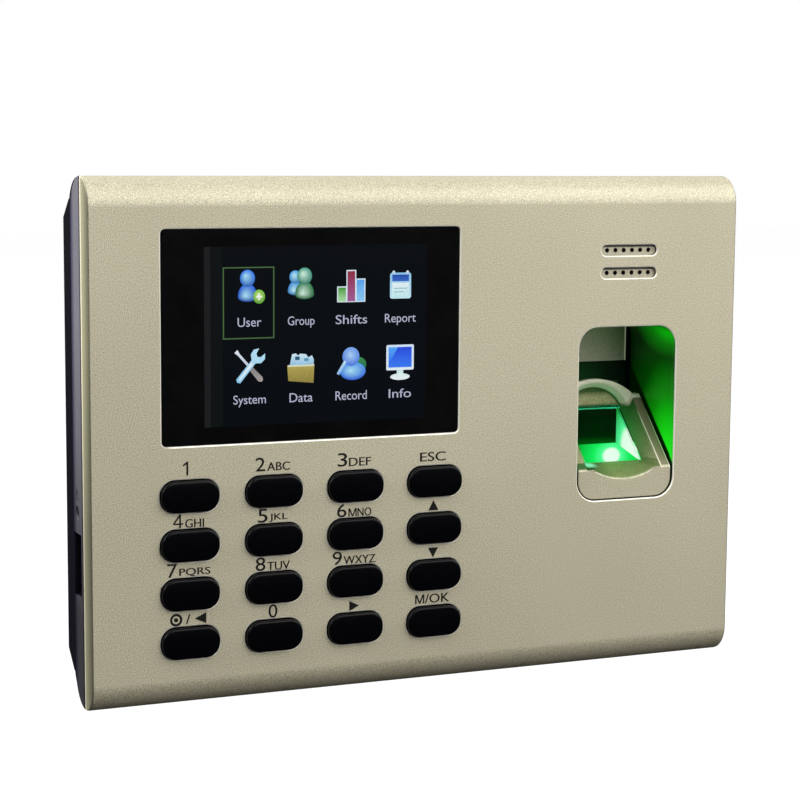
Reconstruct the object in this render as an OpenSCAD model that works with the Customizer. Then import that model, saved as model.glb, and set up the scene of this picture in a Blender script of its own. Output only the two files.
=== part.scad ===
// Wall-mounted fingerprint terminal: a two-part case with a colour display, a 16-key keypad and
// a sloping finger sensor in a well, hung on a steel wall plate.
//
// Frame: +X to the right seen from the front, +Y into the wall, +Z up. The origin is on the wall
// plane, at the middle of the terminal. Depths (d) are measured from the front face to the back.

/* [Body] */
// Overall width
body_w = 180; // [176:1:190]
// Overall height
body_h = 132; // [130:1:140]
// Depth from the wall to the front face
body_d = 31; // [31:0.5:34]
// Rounding of the front cover's top and bottom edges
edge_r = 7.4; // [6.5:0.1:7.6]
// Wall thickness of the two covers
wall = 2.4; // [2.2:0.1:2.6]

/* [Display] */
// Width of the display window
lens_w = 79.4; // [78:0.2:80]
// Height of the display window
lens_h = 53; // [52:0.2:53.4]
// Corner radius of the display window
lens_r = 1.2; // [0.8:0.1:2]
// Thickness of the display window
lens_t = 1.5; // [1.2:0.1:1.5]

/* [Keypad] */
// Width of a key
key_w = 14.9; // [14:0.1:15.6]
// Height of a key
key_h = 7.9; // [7.4:0.1:8.6]
// Corner radius of a key
key_r = 3.6; // [2.5:0.1:3.65]
// Height of a key above the front face at rest
key_proud = 1.4; // [1.2:0.1:1.8]
// Travel of a key
key_travel = 1; // [0.6:0.1:1]
// Distance between key columns
key_pitch_x = 22; // [21.8:0.1:22.2]
// Distance between key rows
key_pitch_z = 12.3; // [12.1:0.1:12.4]

/* [Finger well] */
// Width of the window over the finger sensor
well_w = 29.4; // [29:0.1:30]
// Height of the window over the finger sensor
well_h = 46.7; // [46:0.1:47]
// Corner radius of that window
well_r = 5.5; // [5:0.1:6]

/* [Wall plate] */
// Thickness of the steel wall plate
plate_t = 1.5; // [1.2:0.1:1.5]
// Distance between the wall screws, across
hole_span_x = 100; // [96:1:104]
// Distance between the wall screws, up and down
hole_span_z = 70; // [68:1:72]
// Radius of the wall screw holes
wall_hole_r = 2.2; // [2:0.1:2.4]

/* [Hidden] */
$fn = 48;
eps = 0.01;
half_w = body_w / 2;
half_h = body_h / 2;
front_d = edge_r + 0.4;      // depth of the parting line
band_d = 17;                 // depth where the full-width sides end
band_r = 9;                  // rounding of those sides at top and bottom
inset_w = half_w - 1.5;      // half width of the rear cover behind them
shoulder_d = 24.5;           // depth of the rear cover's top and bottom shoulders
shoulder_r = 9;              // their rounding
back_d = body_d - 0.8;       // depth of the rear cover's back face
hump_z = 55.3;               // half height of the back face
hump_foot_z = 60;            // half height of its sloping foot
rear_wall = 1.8;             // wall behind the plate recess

lens_x = -32.2;              // middle of the display window
lens_z = 26.6;
lens_sink = 0.3;             // how far its face lies below the front face
tape_t = 0.3;
active_x = -31.4;            // middle of the picture area
active_w = 60;
active_h = 45;

key_x0 = -65;                // middle of the first key
key_z0 = -12.5;
key_gap = 0.2;               // clearance round a key
flange_d = wall + 0.15;      // depth of a key's retaining flange
flange_t = 0.8;
board_d = 7.9;               // depth of the main board's front
board_t = 1.6;
board_back = board_d + board_t;
mat_t = 1;                   // thickness of the rubber keypad mat's sheet

well_x = 57.4;               // middle of the finger window
well_z = 2.75;
well_back = 25.4;            // depth of the well's back wall
well_sill = 14.2;            // height of that wall's lower edge
bezel_w = 28.2;              // width of the finger guide
lip_d = 0.5;                 // depth of its lip
lip_z = -12.4;               // height of the lip's top edge
slope = 45;                  // angle of the sensor's slope
guide_back = 21.6;           // depth of the guide's back
guide_stop_t = 3.2;          // depth of the finger stop at its end
guide_low = -20.3;           // height of the guide's foot
guide_r = 4.9;               // radius of its lower corners
guide_wall = 1.6;
stop_top = 10;               // height of the stop's arch
nest_top = 7.4;              // height of the hollow under the arch
platen_n = -3.6;             // depth of the glass below the slope
platen_w = 17.4;
platen_s0 = 5;               // start and end of the glass along the slope
platen_s1 = 24.7;

speaker_x = 57.2;
speaker_z = 43.5;
speaker_r = 13;

plate_w = 124;
plate_h = 92;
plate_gap = 0.5;             // clearance round the wall plate
hang_gap = 4.5;              // room under it, to lift the terminal off its hooks
bay = [60, 22];              // wiring bay, across and up
bay_z = -31;                 // its middle
bay_floor = 11.4;            // depth of its floor

screw_x = [-81, 26, 81];     // case screws
screw_z = 50;
board_screws = [[-82, 4], [-82, 34], [17.5, -50], [19, 24]];
well_screws = [[37.5, 22], [37.5, -16], [77.3, 22], [77.3, -16]];

usb_d = 13.1;                // middle of the memory-stick socket on the left side
usb_z = -30.45;
reset_d = 13.4;              // middle of the reset pinhole above it
reset_z = -17.3;

KEYS = [
    ["key_1", "key_2", "key_3", "key_esc"],
    ["key_4", "key_5", "key_6", "key_up"],
    ["key_7", "key_8", "key_9", "key_down"],
    ["key_left", "key_0", "key_right", "key_ok"]
];

cover_colour = [0.74, 0.71, 0.62];
rear_colour = [0.12, 0.12, 0.14];
black = [0.03, 0.03, 0.04];
steel = [0.7, 0.71, 0.73];
board_green = [0.06, 0.33, 0.18];

// Row-frame Y of a depth.
function y_of(d) = d - body_d;

// Row-frame position of a point on the sensor's slope: s along it, n out of it.
function on_slope(x, s, n) = [
    x,
    y_of(lip_d) + s * cos(slope) - n * sin(slope),
    lip_z + s * sin(slope) + n * cos(slope)
];

// Extrudes an (x, z) outline from depth d0 to depth d1.
module deep(d0, d1) {
    translate([0, y_of(d1), 0]) rotate([90, 0, 0]) linear_extrude(d1 - d0) children();
}

// Extrudes a (d, z) outline from x0 to x1.
module across(x0, x1) {
    translate([x0, y_of(0), 0]) rotate([90, 0, 90]) linear_extrude(x1 - x0) children();
}

// Places children on the sensor's slope, with +Y along it and +Z out of it.
module sloped(s = 0, n = 0) {
    translate(on_slope(well_x, s, n)) rotate([slope, 0, 0]) children();
}

// Box between two x, two depths and two z.
module block(x, d, z) {
    translate([x[0], y_of(d[0]), z[0]]) cube([x[1] - x[0], d[1] - d[0], z[1] - z[0]]);
}

// Cylinder along the depth at (x, z).
module peg(x, z, r, d0, d1) {
    translate([x, y_of(d0), z]) rotate([-90, 0, 0]) cylinder(r = r, h = d1 - d0);
}

module rounded_rect(w, h, r) {
    square([w - 2 * r, h], center = true);
    square([w, h - 2 * r], center = true);
    for (x = [-1, 1], z = [-1, 1]) translate([x * (w / 2 - r), z * (h / 2 - r)]) circle(r = r);
}

// Round wire or pin along straight runs, with a bead at each bend.
module wire(points, r) {
    for (i = [0 : len(points) - 2]) {
        run = points[i + 1] - points[i];
        translate(points[i])
            rotate([0, acos(run.z / norm(run)), atan2(run.y, run.x)])
                cylinder(r = r, h = norm(run), $fn = 16);
    }
    for (i = [1 : 1 : len(points) - 2]) translate(points[i]) sphere(r = r * 1.12, $fn = 16);
}

// Outline of the front cover in (d, z), drawn in by an inset and carried back to depth end_d.
module front_profile(inset, end_d) {
    r = edge_r - inset;
    z = half_h - edge_r;
    intersection() {
        union() {
            translate([inset, -z]) square([end_d - inset, 2 * z]);
            translate([edge_r, -half_h + inset]) square([end_d - edge_r, body_h - 2 * inset]);
            for (s = [-1, 1]) translate([edge_r, s * z]) circle(r = r);
        }
        translate([inset, -half_h]) square([end_d - inset, body_h]);
    }
}

// Outline of a rear box in (d, z) whose back corners are round.
module rear_profile(start_d, end_d, top_z, r) {
    intersection() {
        union() {
            translate([start_d, -top_z]) square([end_d - r - start_d, 2 * top_z]);
            translate([start_d, -top_z + r]) square([end_d - start_d, 2 * (top_z - r)]);
            for (s = [-1, 1]) translate([end_d - r, s * (top_z - r)]) circle(r = r);
        }
        translate([start_d, -top_z]) square([end_d - start_d, 2 * top_z]);
    }
}

// Outline of the raised back in (d, z).
module hump_profile(inset) {
    foot_z = hump_foot_z - inset;
    top_z = hump_z - inset;
    start_d = shoulder_d - 4;
    end_d = back_d - (inset > 0 ? rear_wall : 0);
    polygon([
        [start_d, -foot_z], [shoulder_d - inset / 2, -foot_z], [end_d, -top_z],
        [end_d, top_z], [shoulder_d - inset / 2, foot_z], [start_d, foot_z]
    ]);
}

module at_screws() {
    for (x = screw_x, s = [-1, 1]) translate([x, 0, s * screw_z]) children();
}

module at_keys() {
    for (row = [0 : 3], column = [0 : 3])
        translate([key_x0 + column * key_pitch_x, 0, key_z0 - row * key_pitch_z]) children();
}

// ---------------------------------------------------------------- case

module speaker_slots(d0, d1, w, h) {
    for (s = [-1, 1]) translate([speaker_x, 0, speaker_z + s * 3])
        deep(d0, d1) rounded_rect(w, h, h / 2 - eps);
}

module front_cover() {
    slot_w = 16.7;
    slot_h = 2.85;
    hole_pitch = 2.5;
    color(cover_colour) difference() {
        union() {
            difference() {
                across(-half_w, half_w) front_profile(0, front_d);
                across(-half_w + wall, half_w - wall) front_profile(wall, front_d + 1);
            }
            // thicker ground behind the display window and the speaker slots
            block([lens_x - 43, lens_x + 43], [wall - 0.4, 3.5], [-2.9, lens_z + 30]);
            block([speaker_x - 11, speaker_x + 11], [wall - 0.4, 3], [speaker_z - 8, speaker_z + 8]);
            at_screws() peg(0, 0, 3.4, wall - 0.4, board_back + 0.2);
            for (p = board_screws) peg(p.x, p.y, 2.6, wall - 0.4, board_d);
            for (p = well_screws) peg(p.x, p.y, 2.3, wall - 0.4, 6);
        }
        // display window: a recess for the glass and a hole for the picture
        translate([lens_x, 0, lens_z]) deep(-1, lens_sink + lens_t + tape_t)
            rounded_rect(lens_w + 0.3, lens_h + 0.3, lens_r);
        block([active_x - 32, active_x + 32], [0, 5], [lens_z - 24, lens_z + 24]);
        at_keys() deep(-1, 5)
            rounded_rect(key_w + 2 * key_gap, key_h + 2 * key_gap, key_r + key_gap);
        translate([well_x, 0, well_z]) deep(-1, 5) rounded_rect(well_w, well_h, well_r);
        speaker_slots(-1, 1, slot_w, slot_h);
        for (s = [-1, 1], i = [0 : 5])
            peg(speaker_x + (i - 2.5) * hole_pitch, speaker_z + s * 3, 0.58, 0.5, 4);
        // pilot holes
        at_screws() peg(0, 0, 1.2, 4, board_back + 1);
        for (p = board_screws) peg(p.x, p.y, 0.9, 3.5, board_d + 1);
        for (p = well_screws) peg(p.x, p.y, 0.9, 3, 7);
    }
}

module rear_shell() {
    difference() {
        union() {
            across(-half_w, half_w) rear_profile(front_d, band_d, half_h, band_r);
            across(-inset_w, inset_w) rear_profile(front_d, shoulder_d, half_h - 0.4, shoulder_r);
            across(-inset_w, inset_w) hump_profile(0);
        }
        across(-half_w + 3, half_w - 3) rear_profile(front_d - 1, band_d - 2.2, half_h - 3, 6);
        across(-inset_w + 2.2, inset_w - 2.2)
            rear_profile(front_d - 1, shoulder_d - 2.2, half_h - 3, shoulder_r - 2.4);
        across(-inset_w + 2.2, inset_w - 2.2) hump_profile(2.2);
    }
}

module rear_cover() {
    plate_d = body_d - 2.3;                       // depth of the plate recess
    bay_x = bay.x / 2;
    bay_top = bay_z + bay.y / 2;
    bay_bottom = bay_z - bay.y / 2;
    color(rear_colour) difference() {
        union() {
            rear_shell();
            // lip that enters the front cover
            difference() {
                deep(front_d - 1.6, front_d + 1.2) square([body_w - 5.2, body_h - 5.4], center = true);
                deep(front_d - 2, front_d + 2) square([body_w - 7.6, body_h - 7.8], center = true);
            }
            // ground behind the wall plate's recess
            block([-plate_w / 2 - 3, plate_w / 2 + 3], [plate_d - rear_wall, back_d - 1],
                [-plate_h / 2 - hang_gap - 3, plate_h / 2 + 3]);
            // cups for the heads of the wall screws
            for (x = [-1, 1], z = [-1, 1])
                peg(x * hole_span_x / 2, z * hole_span_z / 2, 6.6, plate_d - 3.6, back_d - 1);
            // wiring bay
            block([-bay_x - 1.5, bay_x + 1.5], [bay_floor - 1.4, back_d - 1],
                [bay_bottom - 1.5, bay_top + 1.5]);
            // pocket and boss for the wall plate's locking tab
            block([-10, 10], [19.8, back_d - 1], [-53, bay_bottom]);
            block([-6, 6], [21.2, back_d - 1], [-56.6, -48]);
            at_screws() peg(0, 0, 4.3, board_back + 0.4, back_d - 1);
        }
        block([-plate_w / 2 - plate_gap, plate_w / 2 + plate_gap], [plate_d, body_d],
            [-plate_h / 2 - hang_gap, plate_h / 2 + plate_gap]);
        for (x = [-1, 1], z = [-1, 1])
            peg(x * hole_span_x / 2, z * hole_span_z / 2, 5, plate_d - 2.1, body_d);
        block([-bay_x, bay_x], [bay_floor, body_d], [bay_bottom, bay_top]);
        // slots for the wall plate's hooks
        for (s = [-1, 1]) block([s * 30 - 7, s * 30 + 7], [20, body_d], [35.8, 41.7]);
        // locking tab, screw hole and its access groove
        block([-8, 8], [21.5, body_d], [-51, -43.5]);
        translate([0, y_of(26), -60]) cylinder(r = 1.7, h = 15);
        translate([0, y_of(26), -70]) cylinder(r = 3.1, h = 15.5);
        // jacks that look down into the bay
        block([-24.2, -7.8], [board_back + 0.1, 23.2], [bay_top - 0.1, bay_top + 2]);
        block([-2.2, 7.2], [board_back + 0.1, 20.7], [bay_top - 0.1, bay_top + 2]);
        block([11.8, 27.2], [board_back + 0.1, 18.2], [bay_top - 0.1, bay_top + 2]);
        // case screws
        at_screws() {
            peg(0, 0, 3.2, 16, body_d);
            peg(0, 0, 1.6, 8, 20);
        }
        // socket and pinhole on the left side
        block([-half_w - 1, -half_w + 5], [usb_d - 3.6, usb_d + 3.6], [usb_z - 8, usb_z + 8]);
        translate([-half_w - 1, y_of(reset_d), reset_z]) rotate([0, 90, 0]) cylinder(r = 1.2, h = 8);
        translate([-half_w - 1, y_of(reset_d), reset_z]) rotate([0, 90, 0])
            cylinder(r1 = 2.7, r2 = 1.2, h = 1.7);
    }
}

module wall_plate() {
    hook_z = 41.6;                                // where the rear cover hangs
    hook_d = [body_d - 5.6, body_d - 4.3];        // lip behind the cover's wall
    color(steel) difference() {
        union() {
            difference() {
                deep(body_d - plate_t, body_d) rounded_rect(plate_w, plate_h, 4);
                // windows left where the hooks and the wiring pass
                for (s = [-1, 1]) block([s * 30 - 6.5, s * 30 + 6.5], [body_d - 3, body_d + 1],
                    [hook_z, hook_z + 3]);
                translate([0, 0, bay_z]) deep(body_d - 3, body_d + 1)
                    rounded_rect(bay.x - 1, bay.y - 1, 2);
            }
            for (s = [-1, 1]) {
                block([s * 30 - 6, s * 30 + 6], [hook_d[0], body_d - 0.4], [hook_z - 1.5, hook_z]);
                block([s * 30 - 6, s * 30 + 6], hook_d, [hook_z - 1.5, hook_z + 3.8]);
            }
            // locking tab
            block([-7, 7], [22.3, body_d - 0.4], [-plate_h / 2, -plate_h / 2 + 1.5]);
        }
        for (x = [-1, 1], z = [-1, 1])
            peg(x * hole_span_x / 2, z * hole_span_z / 2, wall_hole_r, body_d - 3, body_d + 1);
        translate([0, y_of(26), -plate_h / 2 - 1]) cylinder(r = 1.52, h = 4);
    }
}

// Screw along the depth: the head's face at head_d, pointing to the front.
module screw(head_r, head_h, r, head_d, tip_d) {
    difference() {
        union() {
            peg(0, 0, head_r, head_d - head_h, head_d);
            peg(0, 0, r, tip_d, head_d - head_h + eps);
        }
        for (a = [0, 90]) rotate([0, a, 0])
            block([-head_r * 0.62, head_r * 0.62], [head_d - head_h * 0.55, head_d + 1], [-0.3, 0.3]);
    }
}

module case_screws() {
    color(steel) at_screws() screw(2.7, 2, 1.15, 18, 5);
}

module plate_screw() {
    color(steel) translate([0, y_of(26), 0]) difference() {
        union() {
            translate([0, 0, -56.5]) cylinder(r = 2.8, h = 2);
            translate([0, 0, -54.6]) cylinder(r = 1.5, h = 10.6);
        }
        // six-lobed drive
        for (a = [0 : 60 : 120]) rotate([0, 0, a]) translate([-1.5, -0.4, -57]) cube([3, 0.8, 1.5]);
    }
}

// ---------------------------------------------------------------- display

module display_lens() {
    color(black) translate([lens_x, 0, lens_z]) deep(lens_sink, lens_sink + lens_t)
        rounded_rect(lens_w, lens_h, lens_r - 0.15);
}

module lens_tape() {
    tape_d = lens_sink + lens_t;
    color([0.2, 0.2, 0.2]) difference() {
        translate([lens_x, 0, lens_z]) deep(tape_d, tape_d + tape_t)
            rounded_rect(lens_w - 1, lens_h - 1, 1);
        block([active_x - 33, active_x + 33], [0, 4], [lens_z - 25, lens_z + 25]);
    }
}

module lcd_frame() {
    color(steel) translate([active_x, 0, lens_z]) difference() {
        deep(3.6, 7) square([70, 51], center = true);
        deep(3.8, 7.1) square([69.4, 50.4], center = true);
        deep(3, 4) square([active_w + 3, active_h + 2], center = true);
    }
}

module lcd_panel() {
    color([0.05, 0.06, 0.1]) translate([active_x, 0, lens_z])
        deep(3.85, 5.2) square([69.2, 50.2], center = true);
}

module lcd_backlight() {
    color([0.9, 0.9, 0.88]) translate([active_x, 0, lens_z])
        deep(5.2, 7) square([69.2, 50.2], center = true);
}

module lcd_ribbon() {
    color([0.75, 0.45, 0.1]) {
        block([active_x - 10, active_x + 10], [7.05, 7.35], [0, 6]);
        block([active_x - 10, active_x + 10], [7.05, board_back + 0.8], [0, 0.3]);
        block([active_x - 10, active_x + 10], [board_back + 0.5, board_back + 0.8], [0, 4.2]);
    }
}

// ---------------------------------------------------------------- keypad

// One key: a cap with a softened edge, its flange, and the plunger that reaches the board.
module key() {
    chamfer = 0.7;
    color(black) {
        deep(-key_proud + chamfer, flange_d + eps) rounded_rect(key_w, key_h, key_r);
        deep(-key_proud + chamfer / 2, -key_proud + chamfer + eps)
            rounded_rect(key_w - 0.35, key_h - 0.35, key_r - 0.17);
        deep(-key_proud, -key_proud + chamfer / 2 + eps)
            rounded_rect(key_w - 1.2, key_h - 1.2, key_r - 0.6);
        deep(flange_d, flange_d + flange_t) rounded_rect(key_w + 1.6, key_h + 1.6, key_r + 0.8);
        deep(flange_d + flange_t - eps, board_d - key_travel - 0.1) rounded_rect(7, 3, 1.4);
    }
}

module key_at(row, column) {
    translate([key_x0 + column * key_pitch_x, 0, key_z0 - row * key_pitch_z]) key();
}

// Rubber sheet on the board, with a springy collar round each plunger.
module keypad_mat() {
    collar_d = flange_d + flange_t + key_travel + 0.1;
    color([0.1, 0.1, 0.11]) difference() {
        union() {
            block([key_x0 - 11, key_x0 + 3 * key_pitch_x + 11], [board_d - mat_t, board_d],
                [key_z0 - 3 * key_pitch_z - 7.5, key_z0 + 8]);
            at_keys() deep(collar_d, board_d - mat_t + eps) rounded_rect(11, 6.6, 3.2);
        }
        at_keys() deep(collar_d - 1, board_d + 1) rounded_rect(9.2, 4.8, 2.3);
    }
}

// ---------------------------------------------------------------- electronics

module main_board() {
    color(board_green) difference() {
        block([-85, 33], [board_d, board_back], [-58, 57]);
        at_screws() peg(0, 0, 3.8, board_d - 1, board_back + 1);
        for (p = board_screws) peg(p.x, p.y, 1.2, board_d - 1, board_back + 1);
        block([active_x - 11, active_x + 11], [board_d - 1, board_back + 1], [-0.6, 0.8]);
        // corner cut back from the case screw's boss
        block([-86, -76.5], [board_d - 1, board_back + 1], [46, 58]);
        block([-86, -76.5], [board_d - 1, board_back + 1], [-59, -46]);
    }
}

module chip(x, z, w, h, t) {
    block([x - w / 2, x + w / 2], [board_back, board_back + t], [z - h / 2, z + h / 2]);
}

module board_chips() {
    color(black) {
        chip(-50, -10, 14, 14, 1.4);
        chip(-50, 12, 10, 14, 1.2);
        chip(-66, 24, 8, 10, 1.2);
        chip(-8, 14, 12, 9, 1.4);
        chip(-66, -46, 6, 5, 1.5);
        chip(12, 40, 7, 7, 1);
    }
}

module board_capacitors() {
    color([0.75, 0.75, 0.78]) for (p = [[-60, 48], [-50, 48], [22, 8], [22, 0]])
        peg(p.x, p.y, 3.1, board_back, board_back + 6);
}

module board_screws() {
    color(steel) for (p = board_screws) translate([p.x, 0, p.y])
        screw(2.2, 1.4, 0.88, board_back + 1.4, 4);
}

module ribbon_socket() {
    color([0.9, 0.88, 0.8]) difference() {
        chip(active_x, 6.2, 24, 5, 2);
        block([active_x - 10.2, active_x + 10.2], [board_back + 0.4, board_back + 0.9], [3, 6]);
    }
}

module usb_socket() {
    x = [-half_w + 2, -half_w + 15];
    color(steel) difference() {
        union() {
            block(x, [usb_d - 3.05, usb_d + 3.05], [usb_z - 6.7, usb_z + 6.7]);
            block([x[0], x[0] + 0.5], [usb_d - 3.5, usb_d + 3.5], [usb_z - 7.4, usb_z + 7.4]);
        }
        block([x[0] - 1, x[1] - 0.6], [usb_d - 2.6, usb_d + 2.6], [usb_z - 6.25, usb_z + 6.25]);
    }
    // feet that stand on the board
    color(steel) for (s = [-1, 1]) block([-84, -82],
        [board_back, usb_d - 2.9], [usb_z + s * 6.4 - 0.3, usb_z + s * 6.4 + 0.3]);
}

module usb_tongue() {
    color([0.92, 0.92, 0.9]) block([-half_w + 4.5, -half_w + 14.4],
        [usb_d - 2.2, usb_d - 0.4], [usb_z - 5.5, usb_z + 5.5]);
}

module reset_switch() {
    color(black) difference() {
        block([-83.5, -79.5], [board_back, board_back + 6.6], [reset_z - 3, reset_z + 3]);
        translate([-84, y_of(reset_d), reset_z]) rotate([0, 90, 0]) cylinder(r = 1.35, h = 3);
    }
}

module reset_button() {
    color([0.8, 0.78, 0.72]) translate([-84.9, y_of(reset_d), reset_z]) rotate([0, 90, 0])
        cylinder(r = 1.2, h = 3.2);
}

module network_jack() {
    top_z = bay_z + bay.y / 2;
    color(steel) difference() {
        block([-24, -8], [board_back, 23], [top_z, top_z + 18]);
        block([-21.9, -10.1], [13, 20], [top_z - 1, top_z + 13]);
        block([-19, -13], [19.9, 21.6], [top_z - 1, top_z + 13]);
    }
}

module power_jack() {
    top_z = bay_z + bay.y / 2;
    color(black) difference() {
        block([-2, 7], [board_back, 20.5], [top_z, top_z + 14]);
        translate([2.5, y_of(15.2), top_z - 1]) cylinder(r = 3.1, h = 11);
    }
}

module power_pin() {
    top_z = bay_z + bay.y / 2;
    color(steel) translate([2.5, y_of(15.2), top_z + 1]) cylinder(r = 1, h = 9);
}

module wiring_header() {
    top_z = bay_z + bay.y / 2;
    color([0.1, 0.45, 0.25]) difference() {
        block([12, 27], [board_back, 18], [top_z, top_z + 10]);
        block([13, 26], [11.6, 17], [top_z - 1, top_z + 8.5]);
    }
    color(steel) for (i = [0 : 3]) translate([14.5 + i * 3.33, y_of(14.2), top_z + 2])
        cylinder(r = 0.5, h = 6.6, $fn = 16);
}

module clock_cell() {
    color(steel) peg(-12, 36, 10, board_back + 1, board_back + 4.2);
    color(black) difference() {
        peg(-12, 36, 11.2, board_back, board_back + 3.6);
        peg(-12, 36, 10.15, board_back + 1, board_back + 5);
    }
}

module battery_pack() {
    color([0.35, 0.4, 0.5]) translate([-45, 0, 9]) {
        deep(18.4, 24.2) rounded_rect(40, 52, 2);
        deep(24.19, 24.6) square([34, 46], center = true);
    }
}

module battery_lead() {
    y = y_of(21);
    color([0.7, 0.05, 0.05]) wire([[-24.95, y, 22], [-20, y, 22], [-20, y_of(14), 22],
        [-20, y_of(14), 17.9]], 0.6);
    color(black) wire([[-24.95, y, 19.5], [-22, y, 19.5], [-22, y_of(14), 19.5],
        [-22, y_of(14), 17.9]], 0.6);
    color([0.92, 0.92, 0.88]) block([-23.4, -18.6], [board_back, 16], [12, 18]);
}

// ---------------------------------------------------------------- finger well and sensor

// Liner behind the window: side walls, a short back wall at the top, and a screwed flange.
module finger_well() {
    inner_w = well_w + 0.4;
    inner_h = well_h + 0.4;
    liner = 1.3;
    color(cover_colour) difference() {
        union() {
            translate([well_x, 0, well_z]) deep(wall + 0.1, well_back + liner)
                rounded_rect(inner_w + 2 * liner, inner_h + 2 * liner, well_r + liner);
            for (p = well_screws) {
                peg(p.x, p.y, 3.2, 6.1, 7.6);
                block([min(p.x, well_x), max(p.x, well_x)], [6.1, 7.6], [p.y - 3.2, p.y + 3.2]);
            }
        }
        translate([well_x, 0, well_z]) deep(wall, well_back)
            rounded_rect(inner_w, inner_h, well_r + 0.2);
        // open back below the back wall, where the sensor sits
        block([well_x - inner_w / 2 + 0.3, well_x + inner_w / 2 - 0.3], [well_back - 1, 30],
            [-30, well_sill]);
        // way out for the sensor's ribbon
        block([well_x - 20, well_x - 10], [24.8, 30], [-17, -7]);
        for (p = well_screws) peg(p.x, p.y, 1.1, 5, 9);
    }
}

module well_screws() {
    color(steel) for (p = well_screws) translate([p.x, 0, p.y]) screw(2, 1.4, 0.88, 9, 3.5);
}

// Wedge outline of the finger guide in (d, z), drawn in by an inset.
module wedge_profile(inset) {
    low = guide_low + inset;
    reach = guide_back - guide_stop_t - lip_d;
    polygon([
        [lip_d + inset, low], [lip_d + inset, lip_z - inset * 0.414],
        [lip_d + reach, lip_z + reach - inset * 1.414],
        [guide_back + 2 * inset, lip_z + reach - inset * 1.414], [guide_back + 2 * inset, low]
    ]);
}

// Outline of the guide from the front, open upwards.
module guide_outline() {
    tall = 80;
    translate([well_x, 0, guide_low + tall / 2]) deep(-1, 30) rounded_rect(bezel_w, tall, guide_r);
}

// Channel that leads the finger to the glass: wide at the slope, narrow at the glass.
module finger_channel() {
    top_w = 23;
    deep_n = -platen_n + eps;
    sloped(-6) rotate([-90, 0, 0]) linear_extrude(40)
        polygon([[-top_w / 2 - 1, -1.3], [top_w / 2 + 1, -1.3], [top_w / 2, 0],
            [platen_w / 2, deep_n], [-platen_w / 2, deep_n], [-top_w / 2, 0]]);
}

// Arch that the fingertip comes up against, hollowed for the nail.
module finger_stop() {
    arch_r = 18.5;
    arch_w = 26;
    nest_r = 10;
    stop_d = guide_back - guide_stop_t;
    stop_low = 2.7;
    difference() {
        intersection() {
            peg(well_x, stop_top - arch_r, arch_r, stop_d, guide_back);
            block([well_x - arch_w / 2, well_x + arch_w / 2], [stop_d, guide_back], [stop_low, 20]);
        }
        peg(well_x, nest_top - nest_r, nest_r, stop_d - 1, guide_back - 1);
        translate([well_x, y_of(stop_d) - eps, nest_top - nest_r]) rotate([-90, 0, 0])
            cylinder(r1 = nest_r + 1.6, r2 = nest_r, h = 1.6);
    }
}

// Scooped step between the lip and the glass.
module sill() {
    sill_w = 23.6;
    sill_d = 6.5;
    sill_z = -11.4;
    sill_low = -18;
    scoop_r = 21.2;
    scoop_low = -15.1;
    scoop_angle = 31;
    scoop_half = 36;
    arc = [for (a = [90 - scoop_half:3:90 + scoop_half]) scoop_r * [cos(a), sin(a)]];
    side = scoop_r * sin(scoop_half);
    difference() {
        intersection() {
            across(well_x - sill_w / 2, well_x + sill_w / 2)
                polygon([[lip_d, sill_low], [lip_d, lip_z], [sill_d, sill_z], [sill_d, sill_low]]);
            guide_outline();
        }
        translate([well_x, y_of(lip_d), scoop_low + scoop_r / cos(scoop_angle)])
            rotate([scoop_angle - 90, 0, 0]) linear_extrude(60, center = true)
                polygon(concat(arc, [[-side, 0], [side, 0]]));
    }
}

module sensor_bezel() {
    color(cover_colour) {
        difference() {
            intersection() {
                across(well_x - bezel_w / 2, well_x + bezel_w / 2) wedge_profile(0);
                guide_outline();
            }
            // hollow underneath, open at the back
            intersection() {
                across(well_x - bezel_w / 2 + guide_wall, well_x + bezel_w / 2 - guide_wall)
                    wedge_profile(guide_wall);
                sloped(0, platen_n - 1) translate([-20, -20, -60]) cube([40, 70, 60]);
            }
            finger_channel();
            // window of the glass
            sloped(platen_s0, -12) translate([-platen_w / 2, 0, 0])
                cube([platen_w, platen_s1 - platen_s0, 14]);
        }
        sill();
        finger_stop();
    }
}

module sensor_platen() {
    color([0.2, 0.9, 0.4, 0.6]) sloped(platen_s0 + 0.1, platen_n - 1.1)
        translate([-platen_w / 2 + 0.1, 0, 0])
            cube([platen_w - 0.2, platen_s1 - platen_s0 - 0.2, 1.1]);
}

prism_s = [platen_s0 + 0.4, platen_s1 - 0.4];
prism_n = platen_n - 1.15;
prism_w = platen_w - 0.4;
prism_low = on_slope(0, prism_s[0], prism_n);
prism_high = on_slope(0, prism_s[1], prism_n);

module sensor_prism() {
    color([0.7, 0.95, 0.8, 0.5]) translate([well_x - prism_w / 2, 0, 0]) rotate([90, 0, 90])
        linear_extrude(prism_w)
            polygon([[prism_low.y, prism_low.z], [prism_high.y, prism_high.z],
                [prism_high.y, prism_low.z]]);
}

// Black cradle of the prism: two cheeks, a floor and a back with a hole for the camera.
module sensor_housing() {
    z = [prism_low.z - 4.2, prism_high.z - 1.2];
    d = [prism_low.y + body_d + 0.6, prism_high.y + body_d + 0.9];
    color(black) difference() {
        block([well_x - 9.6, well_x + 9.6], d, z);
        block([well_x - prism_w / 2 - 0.1, well_x + prism_w / 2 + 0.1], [0, d[1] - 0.8],
            [prism_low.z - 0.1, 20]);
        sloped(0, prism_n - 0.1) translate([-20, -30, 0]) cube([40, 90, 40]);
        // openings for the light below and the camera behind
        block([well_x - 6.5, well_x + 6.5], [d[0] + 2, d[1] - 2.2], [z[0] - 1, 0]);
        translate([well_x, 0, -7.5]) peg(0, 0, 3.3, 15, 30);
    }
}

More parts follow.
